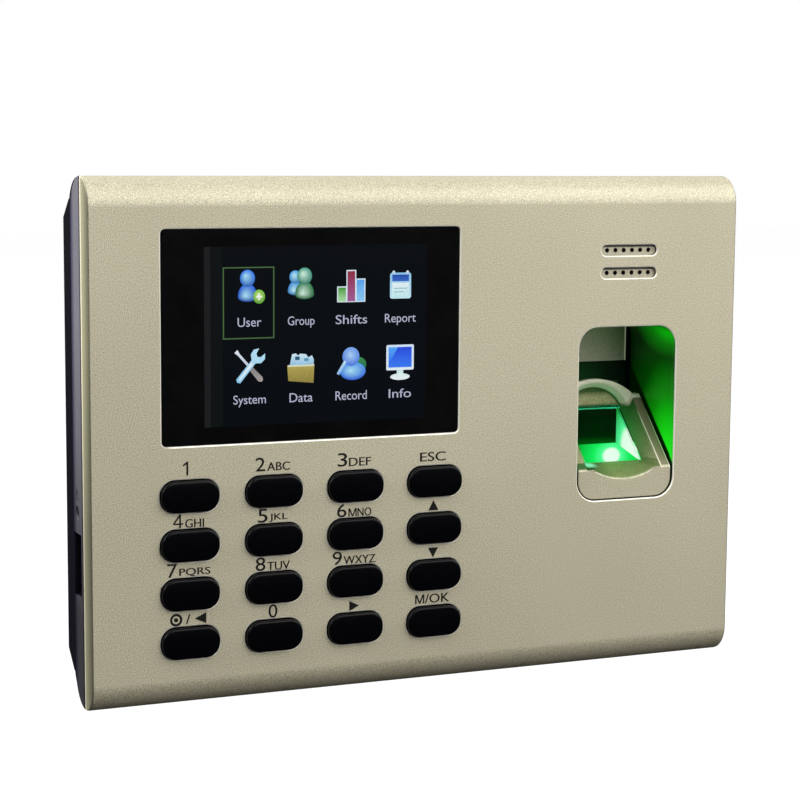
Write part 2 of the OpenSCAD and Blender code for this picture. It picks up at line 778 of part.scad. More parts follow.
module sensor_leds() {
    floor_z = prism_low.z - 5.3;
    color(board_green) block([well_x - 9, well_x + 9], [8.2, 21.5], [floor_z, floor_z + 1]);
    color([0.6, 1, 0.7]) for (x = [-4, 4], d = [11.5, 17])
        block([well_x + x - 1.3, well_x + x + 1.3], [d - 1, d + 1], [floor_z + 1, floor_z + 2.4]);
}

module sensor_lens() {
    color(black) difference() {
        peg(well_x, -7.5, 3, 22.6, 25.2);
        peg(well_x, -7.5, 2, 22, 23.4);
    }
}

module sensor_board() {
    color(board_green) block([well_x - 11, well_x + 11], [25.25, 26.25], [-19, 8.5]);
    color(black) block([well_x + 3.5, well_x + 9], [24.45, 25.25], [0, 6]);
}

module sensor_ribbon() {
    color([0.85, 0.85, 0.82]) {
        block([37, well_x - 11.05], [25.6, 25.9], [-16, -8]);
        block([37, 37.3], [12, 25.9], [-16, -8]);
        block([33.4, 37.3], [12, 12.3], [-16, -8]);
    }
    color([0.9, 0.88, 0.8]) block([27.5, 33.4], [board_back, 13], [-17, -7]);
}

// ---------------------------------------------------------------- speaker

module speaker_frame() {
    color([0.15, 0.15, 0.16]) translate([speaker_x, y_of(3.8), speaker_z]) rotate([-90, 0, 0])
        difference() {
            union() {
                cylinder(r = speaker_r, h = 1.4);
                cylinder(r = speaker_r - 2, h = 3.4);
                cylinder(r = 6, h = 5.6);
            }
            translate([0, 0, -1]) cylinder(r = speaker_r - 1.6, h = 1.8);
            translate([0, 0, 0.79]) cylinder(r1 = speaker_r - 3, r2 = 4, h = 2);
        }
}

module speaker_cone() {
    color(black) translate([speaker_x, y_of(4.1), speaker_z]) rotate([-90, 0, 0])
        difference() {
            cylinder(r = speaker_r - 1.8, h = 0.4);
            translate([0, 0, -1]) cylinder(r = 3, h = 1.1);
        }
}

module speaker_gasket() {
    color([0.2, 0.2, 0.22]) translate([speaker_x, y_of(3), speaker_z]) rotate([-90, 0, 0])
        difference() {
            cylinder(r = speaker_r, h = 0.8);
            translate([0, 0, -1]) cylinder(r = speaker_r - 2.2, h = 3);
        }
}

module speaker_lead() {
    plug_z = 36;
    for (i = [0, 1]) {
        y = y_of(8.2 + i * 0.2);
        z = speaker_z + 1.2 - i * 2.4;
        x = 36 + i * 1.6;
        color(i == 0 ? [0.7, 0.05, 0.05] : black)
            wire([[speaker_x - 6.05, y, z], [x, y, z], [x, y, plug_z + 1.2 - i * 2.4],
                [x, y_of(13), plug_z + 1.2 - i * 2.4], [29.05, y_of(13), plug_z + 1.2 - i * 2.4]], 0.55);
    }
    color([0.92, 0.92, 0.88]) block([24, 29], [board_back, 14.5], [plug_z - 3, plug_z + 3]);
}

// ---------------------------------------------------------------- nodes

front_cover();
rear_cover();
wall_plate();
plate_screw();
case_screws();
display_lens();
lens_tape();
lcd_frame();
lcd_panel();
lcd_backlight();
lcd_ribbon();
keypad_mat();
for (row = [0 : 3], column = [0 : 3])
    key_at(row, column);
main_board();
board_chips();
board_capacitors();
board_screws();
ribbon_socket();
usb_socket();
usb_tongue();
reset_switch();
reset_button();
network_jack();
power_jack();
power_pin();
wiring_header();
clock_cell();
battery_pack();
battery_lead();
finger_well();
well_screws();
sensor_bezel();
sensor_platen();
sensor_prism();
sensor_housing();
sensor_leds();
sensor_lens();
sensor_board();
sensor_ribbon();
speaker_frame();
speaker_cone();
speaker_gasket();
speaker_lead();
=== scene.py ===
"""Looks of the wall-mounted fingerprint terminal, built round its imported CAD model."""
import math

import bmesh
import bpy
from mathutils import Euler, Matrix, Vector


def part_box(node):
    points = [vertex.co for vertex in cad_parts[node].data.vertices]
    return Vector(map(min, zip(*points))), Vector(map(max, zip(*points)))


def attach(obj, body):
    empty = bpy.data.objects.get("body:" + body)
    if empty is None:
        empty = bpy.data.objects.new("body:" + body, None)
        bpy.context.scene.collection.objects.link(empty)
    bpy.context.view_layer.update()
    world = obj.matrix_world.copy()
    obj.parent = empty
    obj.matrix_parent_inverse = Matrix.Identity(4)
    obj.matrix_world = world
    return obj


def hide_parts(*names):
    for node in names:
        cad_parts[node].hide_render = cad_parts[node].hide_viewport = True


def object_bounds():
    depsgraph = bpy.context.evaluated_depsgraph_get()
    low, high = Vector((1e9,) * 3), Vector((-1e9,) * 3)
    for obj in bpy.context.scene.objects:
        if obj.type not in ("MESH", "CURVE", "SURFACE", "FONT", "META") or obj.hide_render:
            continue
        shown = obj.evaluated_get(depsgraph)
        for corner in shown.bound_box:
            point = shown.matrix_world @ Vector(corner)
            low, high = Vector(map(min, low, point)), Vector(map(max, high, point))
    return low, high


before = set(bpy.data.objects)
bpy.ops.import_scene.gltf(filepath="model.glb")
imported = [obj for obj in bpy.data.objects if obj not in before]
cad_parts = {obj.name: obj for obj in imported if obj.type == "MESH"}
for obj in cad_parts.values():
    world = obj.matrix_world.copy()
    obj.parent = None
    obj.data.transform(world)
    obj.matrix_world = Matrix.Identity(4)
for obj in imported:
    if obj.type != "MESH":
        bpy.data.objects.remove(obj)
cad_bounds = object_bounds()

MM = 0.001
FACE_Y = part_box("front_cover")[0].y      # the front face
BLACK = (0, 0, 0)
SHARP = math.radians(32)                 # an edge that turns more than this is softened
scene = bpy.context.scene


def in_row(x, d, z):
    """Point in metres from millimetres, d being the depth behind the front face."""
    return (x * MM, FACE_Y + d * MM, z * MM)


# ---------------------------------------------------- nodes

def add_to(tree, kind, inputs=None, **settings):
    """Adds a node; an input is a value or another node's output."""
    node = tree.nodes.new(kind)
    for name, value in settings.items():
        setattr(node, name, value)
    for name, value in (inputs or {}).items():
        if isinstance(value, bpy.types.NodeSocket):
            tree.links.new(value, node.inputs[name])
        else:
            node.inputs[name].default_value = value
    return node


def add(owner, kind, inputs=None, **settings):
    """Adds a shader node to a material or a world."""
    return add_to(owner.node_tree, "ShaderNode" + kind, inputs, **settings)


def rgba(colour):
    """Four channels from a grey number or from red, green and blue."""
    if isinstance(colour, (int, float)):
        return (colour, colour, colour, 1)
    return (*colour, 1)


def shader_of(look):
    return look.node_tree.nodes["Principled BSDF"]


def link(look, output, socket):
    look.node_tree.links.new(output, shader_of(look).inputs[socket])


def new_material(name, **sockets):
    """A Principled material; underscores in a socket's name stand for spaces."""
    look = bpy.data.materials.new(name)
    look.use_nodes = True
    for socket, value in sockets.items():
        if isinstance(value, tuple):
            value = rgba(value)
        shader_of(look).inputs[socket.replace("_", " ")].default_value = value
    return look


# ---------------------------------------------------- camera, lights and floor

def make_camera():
    data = bpy.data.cameras.new("camera")
    data.sensor_width = 36
    data.lens = 92.8
    data.clip_start = 0.01
    camera = bpy.data.objects.new("camera", data)
    camera.location = (-0.2132, -0.5133, 0.0740)
    camera.rotation_euler = Euler([math.radians(a) for a in (82.937, -0.403, -22.911)])
    scene.collection.objects.link(camera)
    scene.camera = camera


make_camera()


def area_light(name, place, target, size, power):
    data = bpy.data.lights.new(name, "AREA")
    data.shape = "RECTANGLE"
    data.size, data.size_y = size
    data.energy = power
    light = bpy.data.objects.new(name, data)
    light.location = place
    aim = Vector(target) - Vector(place)
    light.rotation_euler = aim.to_track_quat("-Z", "Y").to_euler()
    scene.collection.objects.link(light)


area_light("top_light", (-0.20, -0.35, 1.0), (0, -0.02, 0.02), (1.1, 0.5), 1.6)
area_light("front_light", (0.55, -0.66, 0.50), (0.02, -0.03, 0), (1.7, 0.9), 15)
area_light("left_light", (-1.1, -0.08, 0.75), (0, -0.02, 0.02), (0.6, 0.7), 15)
area_light("back_light", (-0.9, 0.75, 0.75), (0, 0, 0.02), (0.9, 0.6), 12)


def make_world():
    """White where the camera looks past the object; for light, bright above and dim below."""
    world = bpy.data.worlds.new("studio")
    scene.world = world
    world.use_nodes = True
    nodes, links = world.node_tree.nodes, world.node_tree.links
    height = add(world, "SeparateXYZ", {"Vector": add(world, "TexCoord").outputs["Generated"]})
    strength = add(world, "MapRange", {
        "Value": height.outputs["Z"], "From Min": -0.25, "From Max": 0.75, "To Min": 0.03,
        "To Max": 0.55
    })
    ambient = nodes["Background"]
    ambient.inputs["Color"].default_value = rgba(1)
    links.new(strength.outputs["Result"], ambient.inputs["Strength"])
    seen = add(world, "Background", {"Color": rgba(1)})
    mixed = add(world, "MixShader", {
        "Fac": add(world, "LightPath").outputs["Is Camera Ray"],
        1: ambient.outputs["Background"], 2: seen.outputs["Background"]
    })
    links.new(mixed.outputs["Shader"], nodes["World Output"].inputs["Surface"])


make_world()
scene.view_settings.view_transform = "Standard"


def make_floor():
    """Pale floor just under the terminal; it shows, but throws no light back."""
    mesh = bpy.data.meshes.new("floor")
    half, z = 3, cad_bounds[0][2] - 0.02
    corners = [(-half, -half, z), (half, -half, z), (half, half, z), (-half, half, z)]
    mesh.from_pydata(corners, [], [(0, 1, 2, 3)])
    floor = bpy.data.objects.new("floor", mesh)
    scene.collection.objects.link(floor)
    mesh.materials.append(new_material(
        "pale_floor", Base_Color=(0.12, 0.12, 0.12), Specular_IOR_Level=0.0, Roughness=1.0,
        Emission_Color=(1, 1, 1), Emission_Strength=0.93))
    floor.visible_diffuse = False
    floor.visible_glossy = False
    floor.visible_shadow = False


make_floor()


# ---------------------------------------------------- parts of materials

def ramp_of(look, value, stops):
    """Colour ramp with stops as (position, colour)."""
    node = add(look, "ValToRGB", {"Fac": value})
    elements = node.color_ramp.elements
    while len(elements) < len(stops):
        elements.new(0.5)
    for element, (position, colour) in zip(elements, stops):
        element.position = position
        element.color = rgba(colour)
    return node.outputs["Color"]


def place_of(look):
    return add(look, "TexCoord").outputs["Object"]


def noise(look, size_mm, detail=2, stretch=None):
    """Noise with grains of about size_mm."""
    place = place_of(look)
    if stretch:
        place = add(look, "Mapping", {"Vector": place, "Scale": stretch}).outputs["Vector"]
    return add(look, "TexNoise", {
        "Vector": place, "Scale": 1 / (size_mm * MM), "Detail": detail, "Roughness": 0.6
    }).outputs["Fac"]


def rough_and_bump(look, fac, low, high, depth_mm, strength=0.4):
    """Roughness between low and high, and a bump, both from the same grain."""
    spread = add(look, "MapRange", {"Value": fac, "To Min": low, "To Max": high})
    link(look, spread.outputs["Result"], "Roughness")
    bump = add(look, "Bump", {"Height": fac, "Strength": strength, "Distance": depth_mm * MM})
    link(look, bump.outputs["Normal"], "Normal")


def grainy(name, dark, light, grain_mm, rough=(0.4, 0.6), depth_mm=0.02, detail=2,
           stretch=None, **sockets):
    """A surface whose colour, roughness and height all follow one fine grain."""
    look = new_material(name, **sockets)
    fac = noise(look, grain_mm, detail, stretch)
    link(look, ramp_of(look, fac, [(0.3, dark), (0.7, light)]), "Base Color")
    rough_and_bump(look, fac, rough[0], rough[1], depth_mm)
    return look


def maths(look, operation, *values):
    """Output of a Math node on values or node outputs."""
    return add(look, "Math", dict(enumerate(values)), operation=operation).outputs["Value"]


def product(look, *values):
    result = values[0]
    for value in values[1:]:
        result = maths(look, "MULTIPLY", result, value)
    return result


def row_axes(look):
    """Place in metres: across, depth behind the front face, and up."""
    split = add(look, "SeparateXYZ", {"Vector": place_of(look)}).outputs
    return split["X"], maths(look, "SUBTRACT", split["Y"], FACE_Y), split["Z"]


def share_of(look, value, low, high):
    """0 at low and 1 at high, for a value in metres and ends in millimetres."""
    return add(look, "MapRange", {
        "Value": value, "From Min": low * MM, "From Max": high * MM
    }).outputs["Result"]


def span(look, value, low, high, blur=0.1):
    """1 where a value in metres lies between low and high millimetres, with soft ends."""
    return product(look, share_of(look, value, low - blur, low),
                   share_of(look, value, high + blur, high))


def ramp_over(look, value, low, high, stops):
    """Colour ramp over a value in metres, its ends and stops given in millimetres."""
    return ramp_of(look, share_of(look, value, low, high),
                   [((at - low) / (high - low), colour) for at, colour in stops])


def blended(look, first, second, mask, kind="MIX"):
    """First colour, with the second mixed or multiplied in where the mask is 1."""
    first, second = (c if isinstance(c, bpy.types.NodeSocket) else rgba(c)
                     for c in (first, second))
    return add(look, "MixRGB", {"Fac": mask, "Color1": first, "Color2": second},
               blend_type=kind).outputs["Color"]


def shine(look, colour, strength=1.0):
    """Sends a colour out as light."""
    link(look, colour, "Emission Color")
    shader_of(look).inputs["Emission Strength"].default_value = strength


def distance_to(look, point, stretch=(1, 1, 1), lean=0.0):
    """Distance in metres to a point, each axis stretched; X may lean over with depth."""
    shifted = add(look, "VectorMath", {0: place_of(look), 1: point}, operation="SUBTRACT")
    axes = [(stretch[0], -lean, 0), (0, stretch[1], 0), (0, 0, stretch[2])]
    parts = [add(look, "VectorMath", {0: shifted.outputs["Vector"], 1: axis},
                 operation="DOT_PRODUCT").outputs["Value"] for axis in axes]
    leant = add(look, "CombineXYZ", dict(zip("XYZ", parts))).outputs["Vector"]
    return add(look, "VectorMath", {0: leant}, operation="LENGTH").outputs["Value"]


# ---------------------------------------------------- materials

def well_glow(look, up, depth):
    """Painted green glow that stands in for the light the sensor throws on the right wall of the
    well.
    """
    low_spot = distance_to(look, in_row(72.3, 4, -10), (1, 1, 0.66))
    low_glow = ramp_over(look, low_spot, 0, 26, [
        (0, (0.004, 0.86, 0.006)), (5.2, (0.003, 0.55, 0.004)),
        (10.92, (0.0006, 0.20, 0.001)), (17.68, (0.0002, 0.040, 0.0004)),
        (26, (0.0001, 0.008, 0.0003))
    ])
    # A second painted green glow at the top corner near the front.
    corner = distance_to(look, in_row(72.3, 3, 24), (1, 0.40, 1))
    high_glow = ramp_over(look, corner, 0, 9, [
        (0.9, (0.002, 0.34, 0.002)), (3.6, (0.0008, 0.12, 0.001)), (7.2, BLACK)
    ])
    both = blended(look, low_glow, high_glow, 1.0, "ADD")
    # Below the rail line the glow gives way to painted shade, near black.
    below_rail = span(look, maths(look, "SUBTRACT", up, depth), -60, -12.3, 0.7)
    return blended(look, both, (0, 0.004, 0), below_rail)


def champagne_lacquer(name):
    """Satin champagne paint: fine metal flake, and a slow drift of tone across the panel."""
    look = new_material(name, Metallic=0.3, Coat_Weight=0.1, Coat_Roughness=0.3)
    flake, drift = noise(look, 0.25, 1), noise(look, 60, 1)
    fine = ramp_of(look, flake, [
        (0.30, (0.325, 0.298, 0.204)), (0.50, (0.510, 0.468, 0.335)),
        (0.70, (0.730, 0.680, 0.509))
    ])
    wide = ramp_of(look, drift, [(0.35, (0.94, 0.94, 0.93)), (0.65, 1)])
    link(look, blended(look, fine, wide, 1.0, "MULTIPLY"), "Base Color")
    rough_and_bump(look, flake, 0.44, 0.60, 0.010, 0.6)
    return look


def base_of(look):
    return shader_of(look).inputs["Base Color"].links[0].from_socket


SPEAKER_ROWS = (40.5, 46.5)       # heights of the two rows of speaker holes


def front_paint():
    """Front cover: painted highlight rims at the cuts, painted shade and a painted highlight line
    on the ends, painted shade and light in the speaker slots, and a painted green glow in the
    finger window.
    """
    look = champagne_lacquer("champagne_front")
    x, depth, up = row_axes(look)
    across = maths(look, "ABSOLUTE", x)
    # Painted shade on the end faces, darker toward the front edge, with a painted highlight line
    # at the parting edge.
    end_shade = ramp_over(look, depth, 0, 8, [
        (0.5, (0.34, 0.34, 0.32)), (2.0, (0.50, 0.52, 0.44)), (5.2, (0.88, 0.92, 0.80)),
        (6.3, (0.98, 1, 0.92)), (6.8, 2.2)
    ])
    # Painted shade: the end faces darker toward the bottom.
    low_end = ramp_over(look, up, -66, 66, [(-20, 0.62), (25, 1)])
    end_shade = blended(look, end_shade, low_end, 1.0, "MULTIPLY")
    on_end = span(look, across, 89.75, 200, 0.12)
    colour = blended(look, base_of(look), end_shade, on_end, "MULTIPLY")
    # Painted highlight: a light line round every cut in the front face.
    rim_highlight = product(look, span(look, depth, 0.04, 0.40, 0.03), span(look, across, -1, 88),
                   span(look, up, -56, 56))
    colour = blended(look, colour, (0.93, 0.90, 0.80), rim_highlight)
    # In the speaker slots: painted shade on the walls, the holes painted near black as shade, the
    # floor painted lighter as light, and a painted shadow under the top edge.
    for row in SPEAKER_ROWS:
        slot = product(look, span(look, x, 48, 66), span(look, up, row - 1.43, row + 1.43, 0.05))
        floor = product(look, slot, span(look, depth, 0.99, 1.03, 0.01))
        walls = product(look, slot, span(look, depth, 0.40, 0.97, 0.02))
        holes = product(look, slot, span(look, depth, 1.05, 3))
        shadow = product(look, floor, span(look, up, row + 0.95, row + 2, 0.25))
        for shade, where, kind in ((0.10, walls, "MULTIPLY"), (0.02, holes, "MIX"),
                                   (1.7, floor, "MULTIPLY"), (0.12, shadow, "MULTIPLY")):
            colour = blended(look, colour, shade, where, kind)
    # Inside the finger window the cover is dark and carries the painted green glow of the well.
    in_window = product(look, span(look, x, 42.5, 72.3, 0.02),
                        span(look, depth, 0.45, 40, 0.02), span(look, up, -20.9, 26.4, 0.02))
    link(look, blended(look, colour, (0.006, 0.012, 0.005), in_window), "Base Color")
    shine(look, blended(look, BLACK, well_glow(look, up, depth), in_window))
    return look


def guide_paint():
    """The finger guide's paint: as the cover at its lip, with painted shade and a painted green
    glow further in, painted highlights on the arch and the rail edges, and a painted glint at the
    lower left.
    """
    look = champagne_lacquer("champagne_guide")
    across, depth, up = row_axes(look)
    # Painted shade, darker deeper in, with the nest's back face painted lighter.
    shade = ramp_over(look, depth, 0, 21, [
        (0.7, 0.97), (1.5, (0.60, 0.64, 0.46)), (9.0, (0.44, 0.50, 0.33)),
        (12.0, (0.24, 0.34, 0.19)), (16.5, (0.05, 0.12, 0.04)), (20.4, (0.05, 0.12, 0.04)),
        (20.55, (0.78, 0.76, 0.58))
    ])
    colour = blended(look, base_of(look), shade, 1.0, "MULTIPLY")
    # Painted shade and green light across the scoop, darkest and greenest at the left.
    scoop = ramp_over(look, across, 44, 70, [
        (47, (0.07, 0.32, 0.06)), (56, (0.66, 0.76, 0.56)), (66, (0.52, 0.64, 0.44))
    ])
    in_scoop = product(look, span(look, depth, 0.9, 6.6), span(look, up, -18, -10.6))
    colour = blended(look, colour, scoop, in_scoop, "MULTIPLY")
    # Painted shade in the nest, darker toward its top under the rim.
    nest = ramp_over(look, up, 2, 8, [
        (4.6, 1), (5.6, (0.55, 0.62, 0.5)), (6.3, (0.09, 0.20, 0.07))
    ])
    colour = blended(look, colour, nest, span(look, depth, 20.3, 22), "MULTIPLY")
    # Painted highlight on the arch's front band.
    arch = product(look, span(look, depth, 17.6, 19.5, 0.5), span(look, up, 2.9, 12, 0.8))
    colour = blended(look, colour, (0.86, 0.81, 0.66), arch)
    on_rail = span(look, maths(look, "SUBTRACT", up, depth), -13.5, -12.0)
    # The rail's top painted a darker brown, as shade.
    rail = product(look, on_rail, span(look, depth, 1.0, 17), span(look, across, 68.9, 71.3))
    colour = blended(look, colour, (0.23, 0.19, 0.12), rail)
    # Painted highlight lines along both edges of the rail.
    rail_sides = maths(look, "ADD", span(look, across, 68.72, 68.88, 0.08),
                       span(look, across, 71.2, 71.6, 0.08))
    rail_edges = product(look, on_rail, span(look, depth, 0.7, 11, 4.0), rail_sides)
    link(look, blended(look, colour, (0.88, 0.85, 0.70), rail_edges), "Base Color")
    # Painted green glow falling off from the glass; none on the arch and rail, and a faint one on
    # the nest's back face.
    from_glass = distance_to(look, in_row(57.4, 13.5, -6), (1, 0.9, 0.9))
    glow = ramp_over(look, from_glass, 0, 18, [
        (6.3, (0.004, 0.19, 0.020)), (11.2, (0.001, 0.065, 0.006)),
        (15.3, (0.0, 0.012, 0.001)), (18, BLACK)
    ])
    for dimmed, where in ((BLACK, arch), (BLACK, rail),
                          ((0, 0.012, 0), span(look, depth, 20.5, 22))):
        glow = blended(look, glow, dimmed, where)
    # Painted teal glint at the lower left of the channel.
    glint = ramp_over(look, distance_to(look, in_row(48.8, 5, -12)), 0, 3, [
        (0.8, (0.20, 0.75, 0.45)), (2.6, BLACK)
    ])
    shine(look, blended(look, glow, glint, 1.0, "ADD"))
    return look


def case_plastic():
    """Black moulded case: grey on its side bands, painted lighter toward their top and darker
    toward their bottom and edges as light and shade, and a faint painted green glow behind the
    sensor.
    """
    look = new_material("case_plastic", Specular_IOR_Level=0.02)
    x, depth, up = row_axes(look)
    spark = noise(look, 0.35, 3)
    black = ramp_of(look, spark, [
        (0.3, (0.0025, 0.0025, 0.0050)), (0.75, (0.0075, 0.0075, 0.0120))
    ])
    side_grey = ramp_of(look, spark, [(0.3, (0.150, 0.146, 0.172)), (0.7, (0.215, 0.210, 0.240))])
    # Painted light and shade on the side bands: lighter toward the top, darker toward the bottom.
    along = ramp_over(look, up, -66, 66, [(-45, 0.20), (-20, 0.42), (3, 0.75), (30, 1)])
    # Painted shade darkening the bands toward their front and back edges.
    into = ramp_over(look, depth, 7, 17, [
        (8.0, 0.35), (9.2, 1), (13.5, 1), (16.6, (0.20, 0.18, 0.34))
    ])
    for shade in (along, into):
        side_grey = blended(look, side_grey, shade, 1.0, "MULTIPLY")
    on_side = share_of(look, maths(look, "ABSOLUTE", x), 89.3, 89.5)
    link(look, blended(look, black, side_grey, on_side), "Base Color")
    # Painted faint green glow behind the sensor.
    behind = distance_to(look, in_row(53, 28, 9), (0.6, 1, 1))
    shine(look, ramp_over(look, behind, 0, 14, [
        (2, (0.002, 0.024, 0.003)), (8, (0.001, 0.006, 0.001)), (13, BLACK)
    ]))
    rough_and_bump(look, spark, 0.32, 0.46, 0.02, 0.35)
    return look


def well_liner():
    """Black liner of the finger well with its painted back wall; painted light on the back wall
    with a painted highlight line at its right edge, and a painted green glow on the ceiling and
    the right wall for the sensor's light.
    """
    look = new_material("well_liner", Specular_IOR_Level=0.25)
    across, depth, up = row_axes(look)
    grain = noise(look, 0.5, 2)
    black = ramp_of(look, grain, [(0.3, (0.0008, 0.003, 0.0008)), (0.7, (0.002, 0.007, 0.002))])
    paint = ramp_of(look, grain, [(0.3, (0.32, 0.31, 0.24)), (0.7, (0.46, 0.45, 0.35))])
    on_back = product(look, span(look, depth, 25.2, 26), span(look, up, 14.0, 40))
    panel = product(look, on_back, span(look, across, 30, 70.5))
    link(look, blended(look, black, paint, panel), "Base Color")
    # Painted light on the back wall, fading to the right, then a painted highlight line at its
    # right edge.
    skylight = ramp_over(look, across, 40, 75, [
        (50, (0.075, 0.080, 0.052)), (62, (0.040, 0.044, 0.028)), (69, (0.008, 0.014, 0.005)),
        (70.3, (0.008, 0.014, 0.005)), (70.5, (0.16, 0.17, 0.12))
    ])
    to_edge = product(look, on_back, span(look, across, 30, 70.75, 0.05))
    # Painted green glow on the ceiling.
    ceiling = product(look, span(look, up, 25.7, 30), span(look, across, 60, 80, 8))
    side_wall = product(look, span(look, across, 66.9, 80, 0.3), span(look, depth, 0, 25))
    lit = blended(look, BLACK, skylight, to_edge)
    lit = blended(look, lit, (0.001, 0.13, 0.002), ceiling)
    shine(look, blended(look, lit, well_glow(look, up, depth), side_wall))
    rough_and_bump(look, grain, 0.35, 0.5, 0.02, 0.3)
    return look


def display_glass():
    look = new_material("display_glass", Specular_IOR_Level=0.18)
    haze = noise(look, 9, 2)
    smear = ramp_of(look, haze, [
        (0.35, (0.0012, 0.0012, 0.0015)), (0.7, (0.0026, 0.0026, 0.0028))
    ])
    link(look, smear, "Base Color")
    rough_and_bump(look, haze, 0.06, 0.12, 0.002, 0.1)
    return look


def picture_light():
    """Lit picture of the display: each shape's own colour, broken up by the pixel grid."""
    look = new_material("picture_light", Specular_IOR_Level=0.1, Roughness=0.15,
                        Base_Color=(0.0008, 0.0008, 0.001))
    tint = add(look, "Attribute", attribute_name="tint").outputs["Color"]
    dim = ramp_of(look, noise(look, 0.3, 1), [(0.3, (0.80, 0.80, 0.84)), (0.7, 1)])
    shine(look, blended(look, tint, dim, 1.0, "MULTIPLY"), 0.95)
    return look


def ink(name, dark, light, **sockets):
    return grainy(name, dark, light, 0.3, rough=(0.5, 0.65), depth_mm=0.004, **sockets)


def lit_green(name, point, reach_mm, stops, stretch=(1, 1, 1), lean=0.0):
    """A face inside the sensor with painted light from a point: it glows with a colour by the
    distance from it.
    """
    look = new_material(name, Base_Color=(0.0, 0.01, 0.002), Roughness=0.3,
                        Specular_IOR_Level=0.0)
    ragged = product(look, noise(look, 0.8, 2), 0.03)
    reached = share_of(look, distance_to(look, point, stretch, lean), 0, reach_mm)
    shine(look, ramp_of(look, maths(look, "ADD", ragged, reached), stops))
    return look


def sensor_glass():
    look = new_material("sensor_glass", Base_Color=(0.80, 1.0, 0.86), IOR=1.12,
                        Transmission_Weight=1.0)
    rough_and_bump(look, noise(look, 3, 1), 0.0, 0.04, 0.001, 0.05)
    return look


def zinc_sheet():
    """Zinc-plated sheet: spangle patches under a fine rolled grain."""
    look = new_material("zinc_sheet", Metallic=0.9)
    patch = add(look, "TexVoronoi", {"Vector": place_of(look), "Scale": 220.0})
    rolled = noise(look, 0.25, 3, stretch=(1, 1, 14))
    link(look, ramp_of(look, patch.outputs["Distance"], [
        (0.0, (0.50, 0.51, 0.54)), (1.0, (0.62, 0.63, 0.66))
    ]), "Base Color")
    rough_and_bump(look, rolled, 0.30, 0.46, 0.006, 0.3)
    return look


def solder_mask():
    """Board lacquer with lighter traces under it."""
    look = new_material("solder_mask", Coat_Weight=0.4, Coat_Roughness=0.2)
    lanes = add(look, "TexWave", {
        "Vector": place_of(look), "Scale": 180.0, "Distortion": 1.5, "Detail": 1.0
    }, wave_type="BANDS", bands_direction="DIAGONAL").outputs["Fac"]
    link(look, ramp_of(look, lanes, [
        (0.45, (0.010, 0.085, 0.040)), (0.55, (0.020, 0.150, 0.075))
    ]), "Base Color")
    rough_and_bump(look, lanes, 0.3, 0.4, 0.03)
    return look


def metal(name, dark, light, rough, stretch=(1, 1, 1)):
    return grainy(name, dark, light, 0.3, rough, depth_mm=0.006, detail=3, stretch=stretch,
                  Metallic=1.0)


finishes = {
    "champagne": champagne_lacquer("champagne_lacquer"),
    "dark_case": case_plastic(),
    "key_black": grainy("key_plastic", (0.0006, 0.0007, 0.0012), (0.0014, 0.0016, 0.0024), 0.7,
                        (0.14, 0.20), depth_mm=0.004, Specular_IOR_Level=0.12),
    "display_glass": display_glass(),
    "black_tape": grainy("foam_tape", 0.012, 0.04, 0.4, (0.8, 0.95), depth_mm=0.08),
    "black_rubber": grainy("silicone", (0.014, 0.014, 0.015), (0.030, 0.030, 0.032), 0.6,
                           (0.55, 0.7)),
    "zinc_plate": zinc_sheet(),
    "screw_steel": metal("screw_steel", (0.45, 0.46, 0.48), (0.62, 0.63, 0.65), (0.25, 0.4)),
    "tin_frame": metal("tinned_sheet", (0.58, 0.59, 0.60), (0.74, 0.75, 0.76), (0.22, 0.36),
                       stretch=(1, 1, 8)),
    "can_aluminium": metal("can_aluminium", (0.66, 0.66, 0.68), (0.80, 0.80, 0.82),
                           (0.3, 0.45), stretch=(1, 6, 1)),
    "white_plastic": grainy("white_nylon", (0.66, 0.65, 0.60), (0.80, 0.79, 0.75), 0.7,
                            (0.4, 0.55)),
    "ivory_plastic": grainy("ivory_acetal", (0.58, 0.55, 0.46), (0.72, 0.70, 0.62), 0.7,
                            (0.35, 0.5)),
    "ribbon_film": grainy("ribbon_film", (0.30, 0.11, 0.02), (0.52, 0.24, 0.05), 0.5,
                          (0.2, 0.3), stretch=(1, 1, 0.1)),
    "circuit_board": solder_mask(),
    "chip_black": grainy("chip_epoxy", (0.010, 0.010, 0.011), (0.026, 0.026, 0.028), 0.3,
                         (0.45, 0.65)),
    "header_green": grainy("header_nylon", (0.03, 0.22, 0.09), (0.06, 0.34, 0.15), 0.6,
                           (0.4, 0.55)),
    "battery_wrap": grainy("battery_wrap", (0.13, 0.17, 0.25), (0.22, 0.27, 0.37), 4,
                           (0.2, 0.35), depth_mm=0.15),
    "lead_red": grainy("lead_sleeve", (0.30, 0.010, 0.010), (0.48, 0.025, 0.022), 0.6,
                       (0.4, 0.5)),
    "speaker_film": grainy("speaker_film", 0.012, (0.035, 0.035, 0.034), 0.5, (0.6, 0.8)),
    "sensor_glass": sensor_glass(),
    "green_light": lit_green("led_light", in_row(57.4, 14, -17), 8, [
        (0.0, (0.5, 1, 0.6)), (1.0, (0.0, 0.25, 0.04))
    ]),
    "screen": grainy("panel_film", (0.004, 0.005, 0.009), (0.010, 0.012, 0.018), 0.4,
                     (0.15, 0.25), depth_mm=0.004)
}
OWN_FINISH = {
    "reset_button": finishes["chip_black"],
    "sensor_bezel": guide_paint(),
    "sensor_housing": lit_green("housing_light", in_row(57.4, 12, -9), 16, [
        (0.3, (0.01, 0.40, 0.06)), (0.75, (0.001, 0.10, 0.01)), (1.0, (0, 0.02, 0.002))
    ]),
    "finger_well": well_liner(),
    "front_cover": front_paint()
}

for name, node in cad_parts.items():
    for place in node.material_slots:
        place.material = OWN_FINISH.get(name) or finishes[place.material.name]


# ---------------------------------------------------- softened edges

